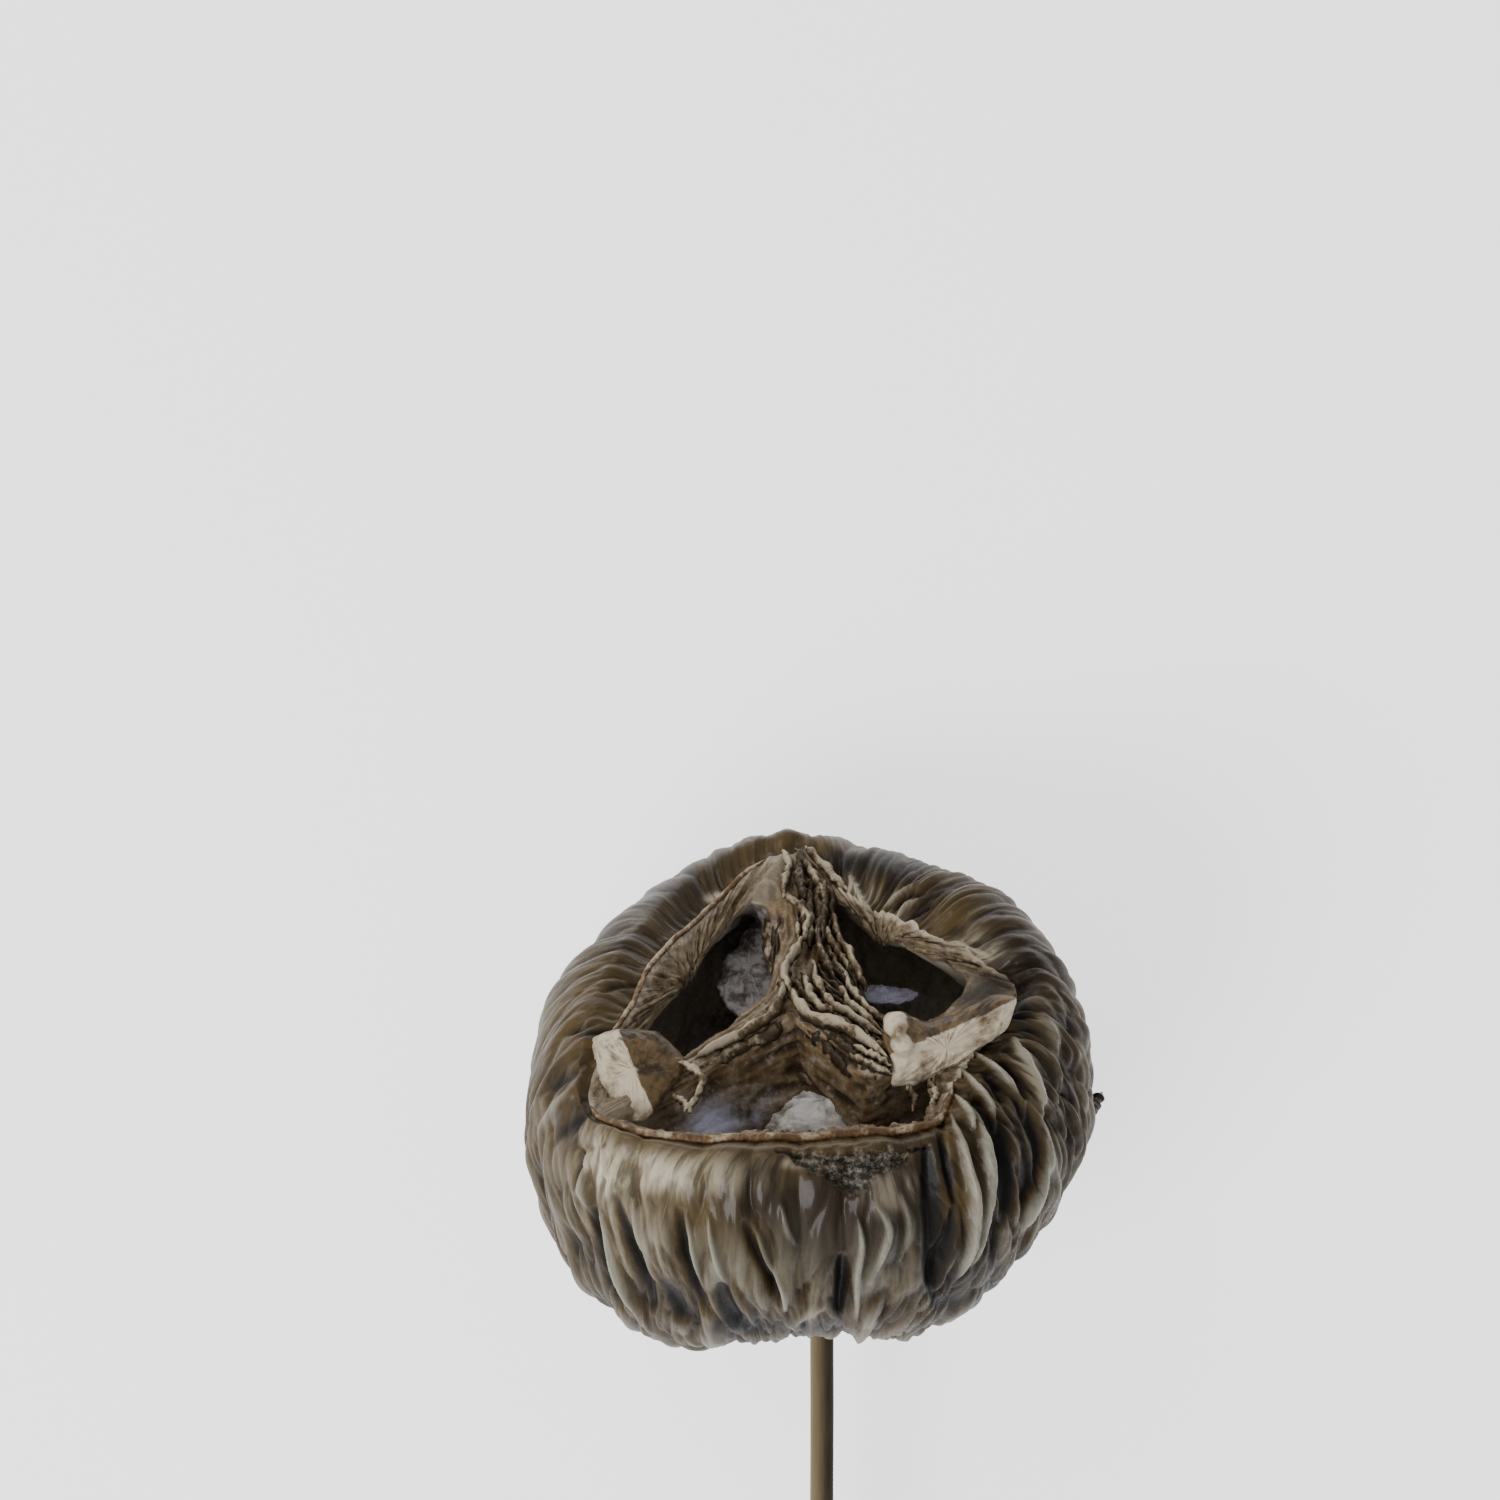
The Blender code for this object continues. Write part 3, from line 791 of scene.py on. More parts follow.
@dataclass(frozen=True)
class LilacLining(TornFlesh):
    """Thin shiny film of seed lining, grey, with a painted lilac sheen in blotches on its torn side."""

    name: str = "lilac_lining"
    skin: tuple = srgb(70, 62, 52)
    stain: tuple = srgb(150, 144, 142)
    # cream here is the painted lilac glint
    cream: tuple = srgb(232, 230, 252)
    hollow: tuple = srgb(44, 37, 30)


@dataclass(frozen=True)
class StickWood(Finish):
    """Plain dull stick with fine grain along it, lighter on its left side."""

    name: str = "dull_stick"
    slot: str = "stick_wood"
    dark: tuple = srgb(44, 33, 18)
    light: tuple = srgb(122, 108, 80)

    def shade(self, graph: Graph) -> None:
        """Grain is noise stretched along the stick.

        Args:
            graph: the empty tree.
        """
        grain = graph.noise(graph.place((1.0, 0.05, 1.0)), 2.2, 4.0)
        patch = graph.noise(graph.place((1.0, 0.3, 1.0)), 0.25, 2.0)
        shade = 0.5 * grain + 0.3 * patch + 1.2 * graph.stored("left")
        base = graph.mix(shade.step(0.35, 1.6), self.dark, self.light)
        normal = graph.bump(grain, 0.4, 0.2)
        look = {"Base Color": base, "Roughness": 0.5 + 0.2 * grain, "Specular IOR Level": 0.12, "Normal": normal}
        graph.finish(look)


@dataclass(frozen=True)
class PaleFloor(Finish):
    """Plain white floor, lit a little from within so that it stays white beside the dark pod."""

    name: str = "pale_floor"

    def shade(self, graph: Graph) -> None:
        """One flat colour.

        Args:
            graph: the empty tree.
        """
        white = (1.0, 1.0, 1.0, 1.0)
        graph.finish({"Base Color": white, "Roughness": 0.9, "Emission Color": white, "Emission Strength": 1.4})


# Shape of the pod


class Side(Enum):
    """The three seed chambers, by the wall that each starts from."""

    RIGHT = 0
    LEFT = 1
    FRONT = 2


@dataclass(frozen=True)
class PodForm:
    """Sizes of the husk that its pieces share, in millimetres and degrees, and the curves that follow from them."""

    columns: int = 840
    wall_steps: int = 48
    reach: int = 10
    base_depth: float = 24.5
    crest_rise: float = 1.6
    lip_depth: float = 3.4
    wall_rounding: float = 0.8
    chamber_radius: float = 28.2
    folds: int = 30
    hub: tuple[float, float, float] = (-2.6, 2.0, 16.0)
    body: Table = (
        (0, 36.6, 1.0, 0.0),
        (33, 35.8, 2.8, 0.0),
        (60, 35.8, 1.5, 0.0),
        (90, 36.2, 0.0, 0.0),
        (120, 36.0, -0.3, 0.0),
        (147, 35.6, -1.0, 0.0),
        (180, 36.1, 0.0, 1.5),
        (213, 36.6, 0.0, 3.4),
        (240, 36.0, 0.0, 1.8),
        (270, 34.8, 0.0, -1.6),
        (300, 35.8, 0.0, 0.6),
        (327, 36.2, 0.0, -1.4),
    )
    rim: Table = (
        (0, 26.5, 17.3, 3.0, 1.0),
        (13, 22.8, 18.0, 2.2, 1.8),
        (28, 18.6, 18.0, 2.4, 2.4),
        (45, 17.6, 18.0, 2.6, 2.8),
        (63, 17.3, 18.0, 2.6, 2.8),
        (78, 19.8, 18.3, 2.6, 2.4),
        (93, 25.2, 18.6, 2.8, 1.8),
        (102, 24.8, 18.4, 6.0, 2.6),
        (120, 20.9, 18.0, 11.0, 3.4),
        (140, 19.1, 18.0, 12.0, 3.8),
        (160, 19.8, 17.8, 11.0, 3.6),
        (175, 20.8, 17.5, 9.0, 3.2),
        (187, 22.3, 17.0, 6.0, 2.6),
        (200, 27.0, 16.0, 3.4, 1.6),
        (215, 32.0, 14.7, 2.0, 0.8),
        (231, 30.0, 15.4, 1.7, 0.6),
        (256, 25.2, 15.9, 1.7, 0.6),
        (283, 24.0, 15.9, 1.7, 0.6),
        (305, 26.6, 16.0, 1.9, 0.8),
        (320, 23.4, 16.6, 2.6, 1.2),
        (346, 23.7, 17.3, 3.0, 1.2),
    )
    walls: tuple[tuple[float, tuple[float, float, float], float], ...] = (
        (0.0, (12.5, -7.0, 16.0), 7.0),
        (96.0, (-0.6, 14.0, 16.6), 5.4),
        (216.0, (-13.4, -9.0, 15.5), 3.0),
    )
    chambers: Table = ((-10.0, 0.10), (-10.0, 0.10), (-9.0, 0.20))

    @property
    def degrees(self) -> np.ndarray:
        """Turn of each column of the skin, in degrees."""
        return np.arange(self.columns) * 360.0 / self.columns

    def start(self, wall: int) -> int:
        """Column of the skin at which an inner wall meets the rim."""
        return round(self.walls[wall][0] / 360.0 * self.columns)

    def broad_folds(self, turn: np.ndarray, along: np.ndarray) -> np.ndarray:
        """Height of the CAD husk's folds, 0 to 1: |sin| of the wandering turn, to the power 0.8.

        Args:
            turn: place round the husk, 0 to 1.
            along: place from the rim, 0, to the stalk end, 1.

        Returns:
            The height at each place.
        """
        slow = value_noise(turn, 2.0 * along, 14, 7)
        quick = value_noise(turn, 5.0 * along, 40, 8)
        ridge = np.abs(np.sin(math.pi * (self.folds * turn + 0.9 * slow + 0.35 * quick)))
        return (0.7 + 0.3 * value_noise(turn, 3.0 * along + 1.5, 20, 9)) * ridge**0.8


POD = PodForm()


@dataclass(frozen=True)
class HuskSkin:
    """The outer skin, from the cut rim over the shoulder to the stalk end."""

    form: PodForm = POD
    steps: tuple[int, ...] = (12, 16, 24, 26, 20, 12, 5)
    fold_depth: float = 1.9
    wrinkle_depth: float = 1.5
    wrinkles: int = 78
    stroke_gain: float = 1.4
    stalk_fade: float = 22.0
    ground_fade: float = 5.0
    girth: float = 36.0
    length: float = 80.0
    strengths: Table = (
        (0, 0.9, 1.3, 1.1),
        (20, 0.6, 0.7, 1.0),
        (50, 0.9, 0.35, 0.8),
        (85, 0.6, 0.3, 0.8),
        (120, 0.2, 0.3, 0.9),
        (170, 0.3, 0.4, 1.0),
        (205, 0.5, 0.8, 1.2),
        (230, 0.12, 0.6, 1.25),
        (265, 0.08, 0.45, 1.2),
        (295, 0.1, 0.5, 1.2),
        (318, 0.9, 1.3, 1.2),
        (340, 1.4, 1.6, 1.3),
    )
    # cream patches, rows of x, y, half width, half height and strength: partly the skin's own pale tone, partly painted
    # highlight on the band under the front rim and the lobes of the right back rim
    cream_and_highlight: Table = (
        (640, 1172, 62, 22, 0.65),
        (700, 1176, 50, 22, 0.4),
        (755, 1182, 30, 20, 0.05),
        (806, 1163, 26, 6, 0.7),
        (600, 1165, 20, 40, 0.6),
        (890, 1192, 30, 22, 0.35),
        (1035, 1060, 22, 55, 0.5),
        (868, 902, 22, 16, 0.5),
        (846, 890, 14, 12, 0.5),
        (900, 922, 16, 12, 0.6),
        (975, 954, 30, 20, 0.8),
        (962, 985, 20, 7, 0.7),
        (610, 1245, 60, 55, 0.3),
        (718, 898, 12, 6, 0.9),
    )
    brown: Table = (
        (835, 1228, 60, 55, 1.0),
        (950, 1270, 60, 45, 0.6),
        (752, 1196, 40, 40, 0.7),
        (895, 1195, 40, 45, 0.8),
        (660, 905, 70, 60, 0.6),
        (1010, 960, 45, 55, 0.7),
        (900, 1110, 25, 25, 0.6),
    )
    # painted shade, rows of x, y, half width, half height and strength: spots in the deep groove, under the left flap,
    # at the right back rim, by the right flap and along the bottom edge
    dark: Table = (
        (932, 1165, 13, 45, 0.8),
        (1015, 1010, 20, 10, 0.9),
        (885, 862, 60, 22, 0.8),
        (838, 860, 18, 18, 0.5),
        (600, 1034, 22, 6, 0.9),
        (590, 1105, 30, 14, 0.6),
        (735, 1330, 25, 12, 0.6),
        (790, 1330, 80, 14, 0.6),
        (1062, 1030, 30, 60, 0.4),
    )
    split: Table = ((778, 1150), (922, 1148), (853, 1197))
    strokes: tuple[Stroke, ...] = (
        Stroke(5, -0.6, ((578, 1149), (576, 1170), (573, 1192))),
        Stroke(6, -0.9, ((586, 1211), (598, 1249), (611, 1288), (621, 1311))),
        Stroke(6, -0.9, ((613, 1192), (621, 1226), (634, 1257), (648, 1295), (652, 1318))),
        Stroke(8, -0.9, ((659, 1280), (677, 1311), (688, 1326))),
        Stroke(6, -0.8, ((678, 1207), (680, 1245), (694, 1288), (707, 1318))),
        Stroke(8, -1.2, ((717, 1284), (730, 1318), (746, 1334))),
        Stroke(6, -0.8, ((742, 1218), (753, 1249), (769, 1280), (780, 1307))),
        Stroke(7, -1.0, ((842, 1257), (842, 1295), (838, 1318))),
        Stroke(10, -1.3, ((927, 1140), (932, 1195), (934, 1242), (930, 1290))),
        Stroke(6, -1.0, ((957, 1207), (953, 1242), (938, 1272), (934, 1295), (942, 1311))),
        Stroke(5, -0.9, ((936, 1112), (950, 1168), (957, 1207))),
        Stroke(7, -1.2, ((992, 1110), (1005, 1157), (1011, 1195), (1003, 1230))),
        Stroke(5, -0.8, ((1027, 1145), (1034, 1180), (1030, 1207))),
        Stroke(5, -0.9, ((1010, 1070), (1032, 1118), (1042, 1157), (1040, 1195))),
        Stroke(4, -0.9, ((980, 1068), (996, 1084), (1007, 1102))),
        Stroke(4, -0.9, ((965, 1088), (982, 1113), (988, 1135))),
        Stroke(4, -0.9, ((991, 1052), (1016, 1076), (1031, 1100))),
        Stroke(3, -0.5, ((598, 990), (620, 984), (645, 985))),
        Stroke(5, -0.6, ((560, 1033), (578, 1026), (600, 1022))),
        Stroke(6, -0.6, ((537, 1095), (560, 1076), (591, 1060))),
        Stroke(6, -0.7, ((547, 1148), (568, 1122), (585, 1110))),
        Stroke(3.8, 0.7, ((596, 1211), (611, 1261), (630, 1311))),
        Stroke(3.8, 0.6, ((630, 1200), (638, 1249), (652, 1285))),
        Stroke(3.8, 0.7, ((684, 1210), (692, 1261), (702, 1298))),
        Stroke(3.8, 0.6, ((707, 1212), (713, 1249), (725, 1285))),
        Stroke(3.8, 0.7, ((755, 1228), (767, 1265), (782, 1292), (786, 1315))),
        Stroke(3.8, 0.5, ((782, 1202), (786, 1226), (796, 1246))),
        Stroke(4.5, 0.8, ((857, 1214), (862, 1245), (857, 1280), (857, 1322))),
        Stroke(5.2, 0.8, ((876, 1203), (888, 1226), (882, 1253), (868, 1285))),
        Stroke(4.5, 0.5, ((902, 1192), (910, 1230), (900, 1265))),
        Stroke(4.5, 1.1, ((948, 1108), (965, 1149), (974, 1195), (972, 1242), (958, 1280))),
        Stroke(5.2, 0.9, ((968, 1092), (983, 1130), (991, 1180), (985, 1226), (972, 1270))),
        Stroke(3.0, 1.0, ((970, 1050), (991, 1064), (1011, 1082), (1027, 1102), (1033, 1125))),
        Stroke(3.0, 1.0, ((958, 1066), (973, 1082), (991, 1107), (1002, 1135))),
        Stroke(3.0, 1.0, ((953, 1092), (967, 1109), (975, 1132))),
        Stroke(6.0, 0.8, ((1010, 1032), (1027, 1056), (1042, 1082), (1049, 1120))),
        Stroke(6.8, 0.5, ((1040, 1010), (1056, 1033), (1061, 1068))),
        Stroke(6.0, 0.7, ((1050, 1120), (1053, 1165), (1038, 1207), (1022, 1240))),
        Stroke(5.2, 0.35, ((784, 1328), (807, 1316), (828, 1303))),
        Stroke(3.0, 0.7, ((588, 1150), (578, 1180), (584, 1211))),
        Stroke(3.0, 0.6, ((603, 1142), (606, 1180))),
        Stroke(6.0, 0.5, ((533, 1140), (548, 1110), (578, 1085))),
        Stroke(3.0, 0.8, ((847, 872), (856, 890), (864, 907), (878, 920))),
        Stroke(3.0, 0.6, ((882, 911), (898, 893), (918, 881))),
        Stroke(3.0, 0.6, ((894, 922), (907, 904), (926, 895))),
        Stroke(3, -0.6, ((889, 915), (902, 899), (920, 889))),
        Stroke(3, -0.6, ((903, 927), (916, 912), (934, 904))),
        Stroke(3.8, 1.0, ((900, 929), (920, 944), (938, 954), (956, 963), (974, 964), (994, 972))),
        Stroke(3.0, 0.7, ((940, 943), (956, 944), (971, 949), (990, 957))),
        Stroke(8, -0.35, ((944, 931), (956, 930), (968, 933))),
        Stroke(3.0, 0.8, ((945, 980), (960, 988), (982, 984))),
    )

    def smooth_form(self) -> np.ndarray:
        """Rows of the skin without its folds: Catmull-Rom through eight rings, with the fuller shoulder and belly."""
        form, turn = self.form, np.radians(self.form.degrees)
        rim_radius, rim_height = closed_curve(form.degrees, form.rim)[:, :2].T
        radius, shoulder, belly = closed_curve(form.degrees, form.body).T
        reach = radius - rim_radius
        crest = rim_height + form.crest_rise * np.clip(reach / 14.0, 0.25, 1.0)
        controls = [polar(rim_radius, turn, rim_height)]
        controls += [polar(rim_radius + out * reach, turn, up * crest) for out, up in ((0.36, 1.0), (0.78, 0.70))]
        controls.append(polar(radius, turn, 0.06 * crest))
        for size, depth in ((0.91, 0.52), (0.67, 0.88), (0.34, 1.0), (0.0, 0.98)):
            controls.append(polar(size * radius, turn, -depth * form.base_depth))
        rows = smooth_rows(controls, self.steps)
        rise = np.degrees(np.arctan2(rows[..., 2], np.hypot(rows[..., 0], rows[..., 1])))
        fuller = shoulder * np.exp(-(((rise - 33.0) / 20.0) ** 2)) + belly * np.exp(-(((rise + 35.0) / 20.0) ** 2))
        return rows + surface_normals(rows) * fuller[..., None]

    def drawn(self, rows: np.ndarray, normals: np.ndarray) -> tuple[np.ndarray, np.ndarray, np.ndarray]:
        """Height of the drawn strokes, how much they take over from the wrinkles, and the torn split.

        Args:
            rows: the skin.
            normals: its normals.

        Returns:
            Height in millimetres, cover from 0 to 1, and the split's mask.
        """
        seen = PICTURE.seen(rows)
        up = smooth_step((normals @ LEVEL)[..., 2], 0.03, 0.45)
        height, cover = np.zeros(up.shape), np.zeros(up.shape)
        for stroke in self.strokes:
            line = np.array(stroke.line, float)
            low, high = line.min(axis=0) - 3 * stroke.half_width, line.max(axis=0) + 3 * stroke.half_width
            near = ((seen > low) & (seen < high)).all(axis=-1) & (up > 0)
            reach = stroke.reach(seen[near]) * up[near]
            height[near] += stroke.height * reach
            cover[near] = np.maximum(cover[near], reach)
        turn = self.form.degrees / 360.0 + 0.0 * up
        share = np.linspace(0.0, 1.0, len(rows))[:, None] + 0.0 * up
        rough = slope_noise(turn, share, 90, 40, 31)
        corners = np.array(self.split, float)
        inside = up
        for start, end in zip(corners, np.roll(corners, -1, axis=0)):
            step = (end - start) / np.linalg.norm(end - start)
            beside = (seen[..., 1] - start[1]) * step[0] - (seen[..., 0] - start[0]) * step[1]
            inside = inside * smooth_step(beside + 7.0 * rough, -2.0, 3.0)
        return self.stroke_gain * height, cover, inside

    def build(self) -> tuple[np.ndarray, Values]:
        """Rows of the wrinkled skin, and the values that its finish reads.

        The relief is a mean of the CAD's broad folds and of narrow wrinkles, |slope noise|^0.6 stretched from rim to
        stalk end, whose zero lines make sharp grooves that branch and meet. Drawn strokes take their place. The
        relief fades out near the stalk and near the surface. The torn split sinks below the skin, noise along the
        rim makes it ragged, and wider noise scallops its right back part.

        Returns:
            The rows and the named values.
        """
        form = self.form
        rows = self.smooth_form()
        share = np.linspace(0.0, 1.0, len(rows))[:, None] + np.zeros((1, form.columns))
        turn = form.degrees[None, :] / 360.0 + 0.0 * share
        near, middle, low = closed_curve(form.degrees, self.strengths).T
        at_shoulder, at_belly = smooth_step(share, 0.08, 0.32), smooth_step(share, 0.35, 0.6)
        strength = near * (1 - at_shoulder) + (middle * (1 - at_belly) + low * at_belly) * at_shoulder
        bend = 0.012 * value_noise(turn, 3.0 * share, 9, 21) + 0.006 * value_noise(turn, 6.0 * share, 30, 22)
        fine = np.abs(slope_noise(turn + bend, share, self.wrinkles, 5, 23)) ** 0.6
        finer = np.abs(slope_noise(turn + 1.5 * bend, share, 2 * self.wrinkles, 9, 24)) ** 0.7
        wrinkle = np.clip(0.75 * fine + 0.35 * finer, 0.0, 1.0)
        broad = form.broad_folds(turn, share)
        from_axis = np.hypot(rows[..., 0], rows[..., 1])
        height = (rows @ LEVEL)[..., 2]
        fade = np.clip(from_axis / self.stalk_fade, 0.0, 1.0)
        fade = fade * np.clip((height - height.min()) / self.ground_fade, 0.0, 1.0)
        normals = surface_normals(rows)
        strokes, cover, split = self.drawn(rows, normals)
        folds = self.fold_depth * fade * np.clip(0.35 + 3.0 * share, 0.0, 1.0) * (broad - 0.75)
        narrow = self.wrinkle_depth * fade * strength * (wrinkle - 0.6) * (1.0 - 0.75 * cover)
        rough = slope_noise(turn, share, 110, 36, 28)
        lumps = 0.35 * value_noise(turn, 7.0 * share, 24, 25) - split * (1.1 + 0.5 * rough)
        relief = 1.0 - np.clip(strength, 0.3, 1.0) * (1.0 - np.clip(0.35 * broad + 0.65 * wrinkle, 0.0, 1.0))
        relief = relief * (1.0 - 0.7 * cover) + 0.42 * cover + 0.55 * strokes - split * (0.3 + 0.5 * rough)
        seen = PICTURE.seen(rows)
        values = {
            "relief": np.clip(relief, 0.0, 1.0),
            # low on the husk: where crests take painted grey sheen, partly paler skin
            "sheen_and_pale": smooth_step(share + 0.10 * value_noise(turn, 4.0 * share, 16, 26), 0.22, 0.5),
            "cream_and_highlight": spots(seen, self.cream_and_highlight),
            # drawn ridges, where the finish paints a pale highlight
            "ridge": smooth_step(strokes, 0.25, 1.1),
            "brown": spots(seen, self.brown),
            # painted shade spots, with the split's dark inside, partly shade of the crack
            "dark": np.clip(spots(seen, self.dark) + 0.6 * split, 0.0, 1.0),
            "split": split,
            "round_x": self.girth * np.cos(math.tau * (turn + bend)),
            "round_y": self.girth * np.sin(math.tau * (turn + bend)),
            "down": self.length * share,
        }
        ragged = 0.5 * slope_noise(turn, 0.0 * share, 120, 1, 29) + 0.4 * slope_noise(turn, 0.0 * share, 50, 1, 30)
        at_rim = 1.0 - smooth_step(share, 0.0, 0.03)
        moved = rows + normals * (0.6 * folds + narrow + strokes * fade + lumps * fade)[..., None]
        moved[..., 2] += at_rim * (0.35 + ragged)
        scalloped = smooth_step(turn, 0.03, 0.08) * (1.0 - smooth_step(turn, 0.24, 0.28))
        scalloped = scalloped * (1.0 - smooth_step(share, 0.02, 0.2))
        lobes = slope_noise(turn, 0.0 * share, 34, 1, 33) + 0.25 * slope_noise(turn, 0.0 * share, 70, 1, 34)
        moved[..., :2] *= (1.0 + 0.03 * scalloped * lobes)[..., None]
        moved[..., 2] += 0.4 * scalloped * lobes
        return moved, values


@dataclass(frozen=True)
class SeedChamber:
    """One seed chamber with the cut face and the halves of the inner walls round it, and its drawn spots of colour."""

    side: Side
    rim_points: np.ndarray
    form: PodForm = POD
    steps: tuple[int, ...] = (12, 10, 16, 18, 12, 8)
    lining: Table = (
        (755, 930, 40, 60, 1.0),
        (762, 985, 26, 22, 1.0),
        (722, 1022, 34, 10, 0.7),
        (700, 1040, 26, 8, 0.6),
        (885, 1000, 50, 12, 0.8),
        (715, 1120, 40, 28, 0.8),
        (770, 1120, 45, 26, 0.5),
        (905, 1120, 25, 20, 0.3),
    )
    glints: Table = (
        (747, 958, 12, 5, 0.7),
        (752, 990, 18, 6, 0.45),
        (700, 1046, 10, 4, 0.3),
        (887, 999, 32, 9, 0.45),
        (714, 1127, 22, 19, 1.0),
        (757, 1118, 5, 8, 0.5),
    )
    shadows: Table = ((995, 985, 24, 14, 0.9), (970, 1000, 24, 12, 0.7), (648, 1046, 26, 8, 0.6))

    def wall_crest(self, wall: int) -> np.ndarray:
        """Points along an inner wall's top, on a quadratic curve from the rim through its bend to the hub.

        Args:
            wall: which inner wall.

        Returns:
            The points.
        """
        hub, bend = np.array(self.form.hub), np.array(self.form.walls[wall][1])
        start = self.rim_points[self.form.start(wall)]
        t = np.linspace(0.0, 1.0, self.form.wall_steps + 1)[:, None]
        return (1 - t) ** 2 * start + 2 * t * (1 - t) * (2 * bend - 0.5 * (start + hub)) + t**2 * hub

    def build(self) -> tuple[np.ndarray, Values]:
        """Rows of the chamber, from its loop of rim and wall tops down to its floor, and its finish's values.

        The edge is the loop drawn in by the cut face's or half the wall's width, the widest ring lies under the skin,
        and further rings shrink towards the floor's middle.

        Returns:
            The rows and the named values.
        """
        form, wall = self.form, self.side.value
        after = (wall + 1) % 3
        span = (form.start(after) - form.start(wall)) % form.columns
        arc = (form.start(wall) + np.arange(span + 1)) % form.columns
        crest_in, crest_out = self.wall_crest(after)[1:], self.wall_crest(wall)[1:-1][::-1]
        loop = np.concatenate([self.rim_points[arc], crest_in, crest_out])
        is_rim = np.arange(len(loop)) <= span
        cut = np.zeros((len(loop), 2))
        cut[: span + 1] = closed_curve(form.degrees, form.rim)[arc, 2:]
        thickness = np.full(len(loop), form.walls[wall][2])
        thickness[span + 1 : span + 1 + form.wall_steps] = form.walls[after][2]
        floor_height, lean = form.chambers[wall]

        inward = loop.mean(axis=0) - loop
        inward[:, 2] = 0.0
        ahead = np.roll(loop, -6, axis=0) - np.roll(loop, 6, axis=0)
        ahead /= np.linalg.norm(ahead[:, :2], axis=1, keepdims=True)
        across = np.abs(ahead[:, 0] * inward[:, 1] - ahead[:, 1] * inward[:, 0])
        width = np.where(is_rim, cut[:, 0], 0.5 * thickness)
        share = running_mean(np.clip(width / np.maximum(across, 1e-6), 0.0, 0.82), 24)[:, None]
        rim_share = running_mean(is_rim.astype(float), form.reach)[:, None]
        edge = loop + inward * share
        edge[:, 2] -= running_mean(np.where(is_rim, cut[:, 1], form.wall_rounding), form.reach)
        turn = np.arctan2(loop[:, 1], loop[:, 0])
        far_wall = polar(form.chamber_radius, turn, np.zeros(len(loop)))
        near_wall = loop + inward * (share + lean)
        widest = rim_share * far_wall + (1 - rim_share) * near_wall
        middle = widest.mean(axis=0)
        top = loop[:, 2].mean()
        under_lip = 0.65 * edge + 0.35 * widest
        under_lip[:, 2] = edge[:, 2] - form.lip_depth
        controls = [loop, edge, under_lip]
        for size, depth in ((1.0, 0.46), (0.82, 0.78), (0.42, 0.96), (0.0, 1.0)):
            ring = middle + (widest - middle) * size
            ring[:, 2] = top + (floor_height - top) * depth
            controls.append(ring)
        rows = smooth_rows(controls, self.steps)

        count = len(rows)
        down = np.linspace(0.0, 1.0, count)[:, None] + np.zeros((1, len(loop)))
        around = np.arange(len(loop))[None, :] / len(loop) + 0.0 * down
        lip = self.steps[0] / (count - 1)
        on_rim = rim_share.T + 0.0 * down
        cut_mask = on_rim * (1.0 - smooth_step(down, lip, 1.3 * lip))
        seed = 40 + 10 * wall
        ragged = slope_noise(around, down, 90, 56, seed)
        lumpy = slope_noise(around, down, 40, 24, seed + 4)
        strand = 1.0 - np.abs(slope_noise(around + 0.02 * down, down, 34, 20, seed + 1))
        lining = slope_noise(around, down, 14, 5, seed + 2) + 0.4 * slope_noise(around, down, 40, 14, seed + 3)
        edge_fade = smooth_step(down, 0.0, 0.4 * lip) * (1.0 - smooth_step(down, 0.9, 1.0))
        wall_mask = 1.0 - on_rim
        push = cut_mask * (0.25 * ragged + 0.3 * lumpy)
        push = push + wall_mask * 0.9 * (strand - 0.6) * (1.0 - smooth_step(down, 0.4, 0.7))
        push = push + 0.9 * lining * smooth_step(down, 0.25, 0.5)
        rows = rows - surface_normals(rows) * (push * edge_fade)[..., None]
        seen = PICTURE.seen(rows)
        if self.side is Side.FRONT:
            wall_mask = np.maximum(wall_mask, 0.8 * smooth_step(down, 0.5, 0.9))
        values = {
            "cut": cut_mask,
            "wall": wall_mask * (1.0 - 0.8 * smooth_step(down, 0.45, 0.8)),
            "strand": strand,
            "relief": np.clip(0.5 + 0.3 * ragged + 0.4 * lumpy, 0.0, 1.0),
            "edge": cut_mask * (1.0 - smooth_step(down, 0.0, 0.5 * lip)),
            "lining": spots(seen, self.lining) * smooth_step(down, lip, 1.6 * lip),
            "glint": spots(seen, self.glints) * smooth_step(down, lip, 1.6 * lip),
            "shadow": spots(seen, self.shadows),
        }
        return rows, values

    def dress(self) -> bpy.types.Object:
        """Makes the piece."""
        rows, values = self.build()
        name = f"seed_chamber_{self.side.name.lower()}"
        return Surface.closed_grid(rows, values, flip=True).piece(name, "husk", CutHusk())


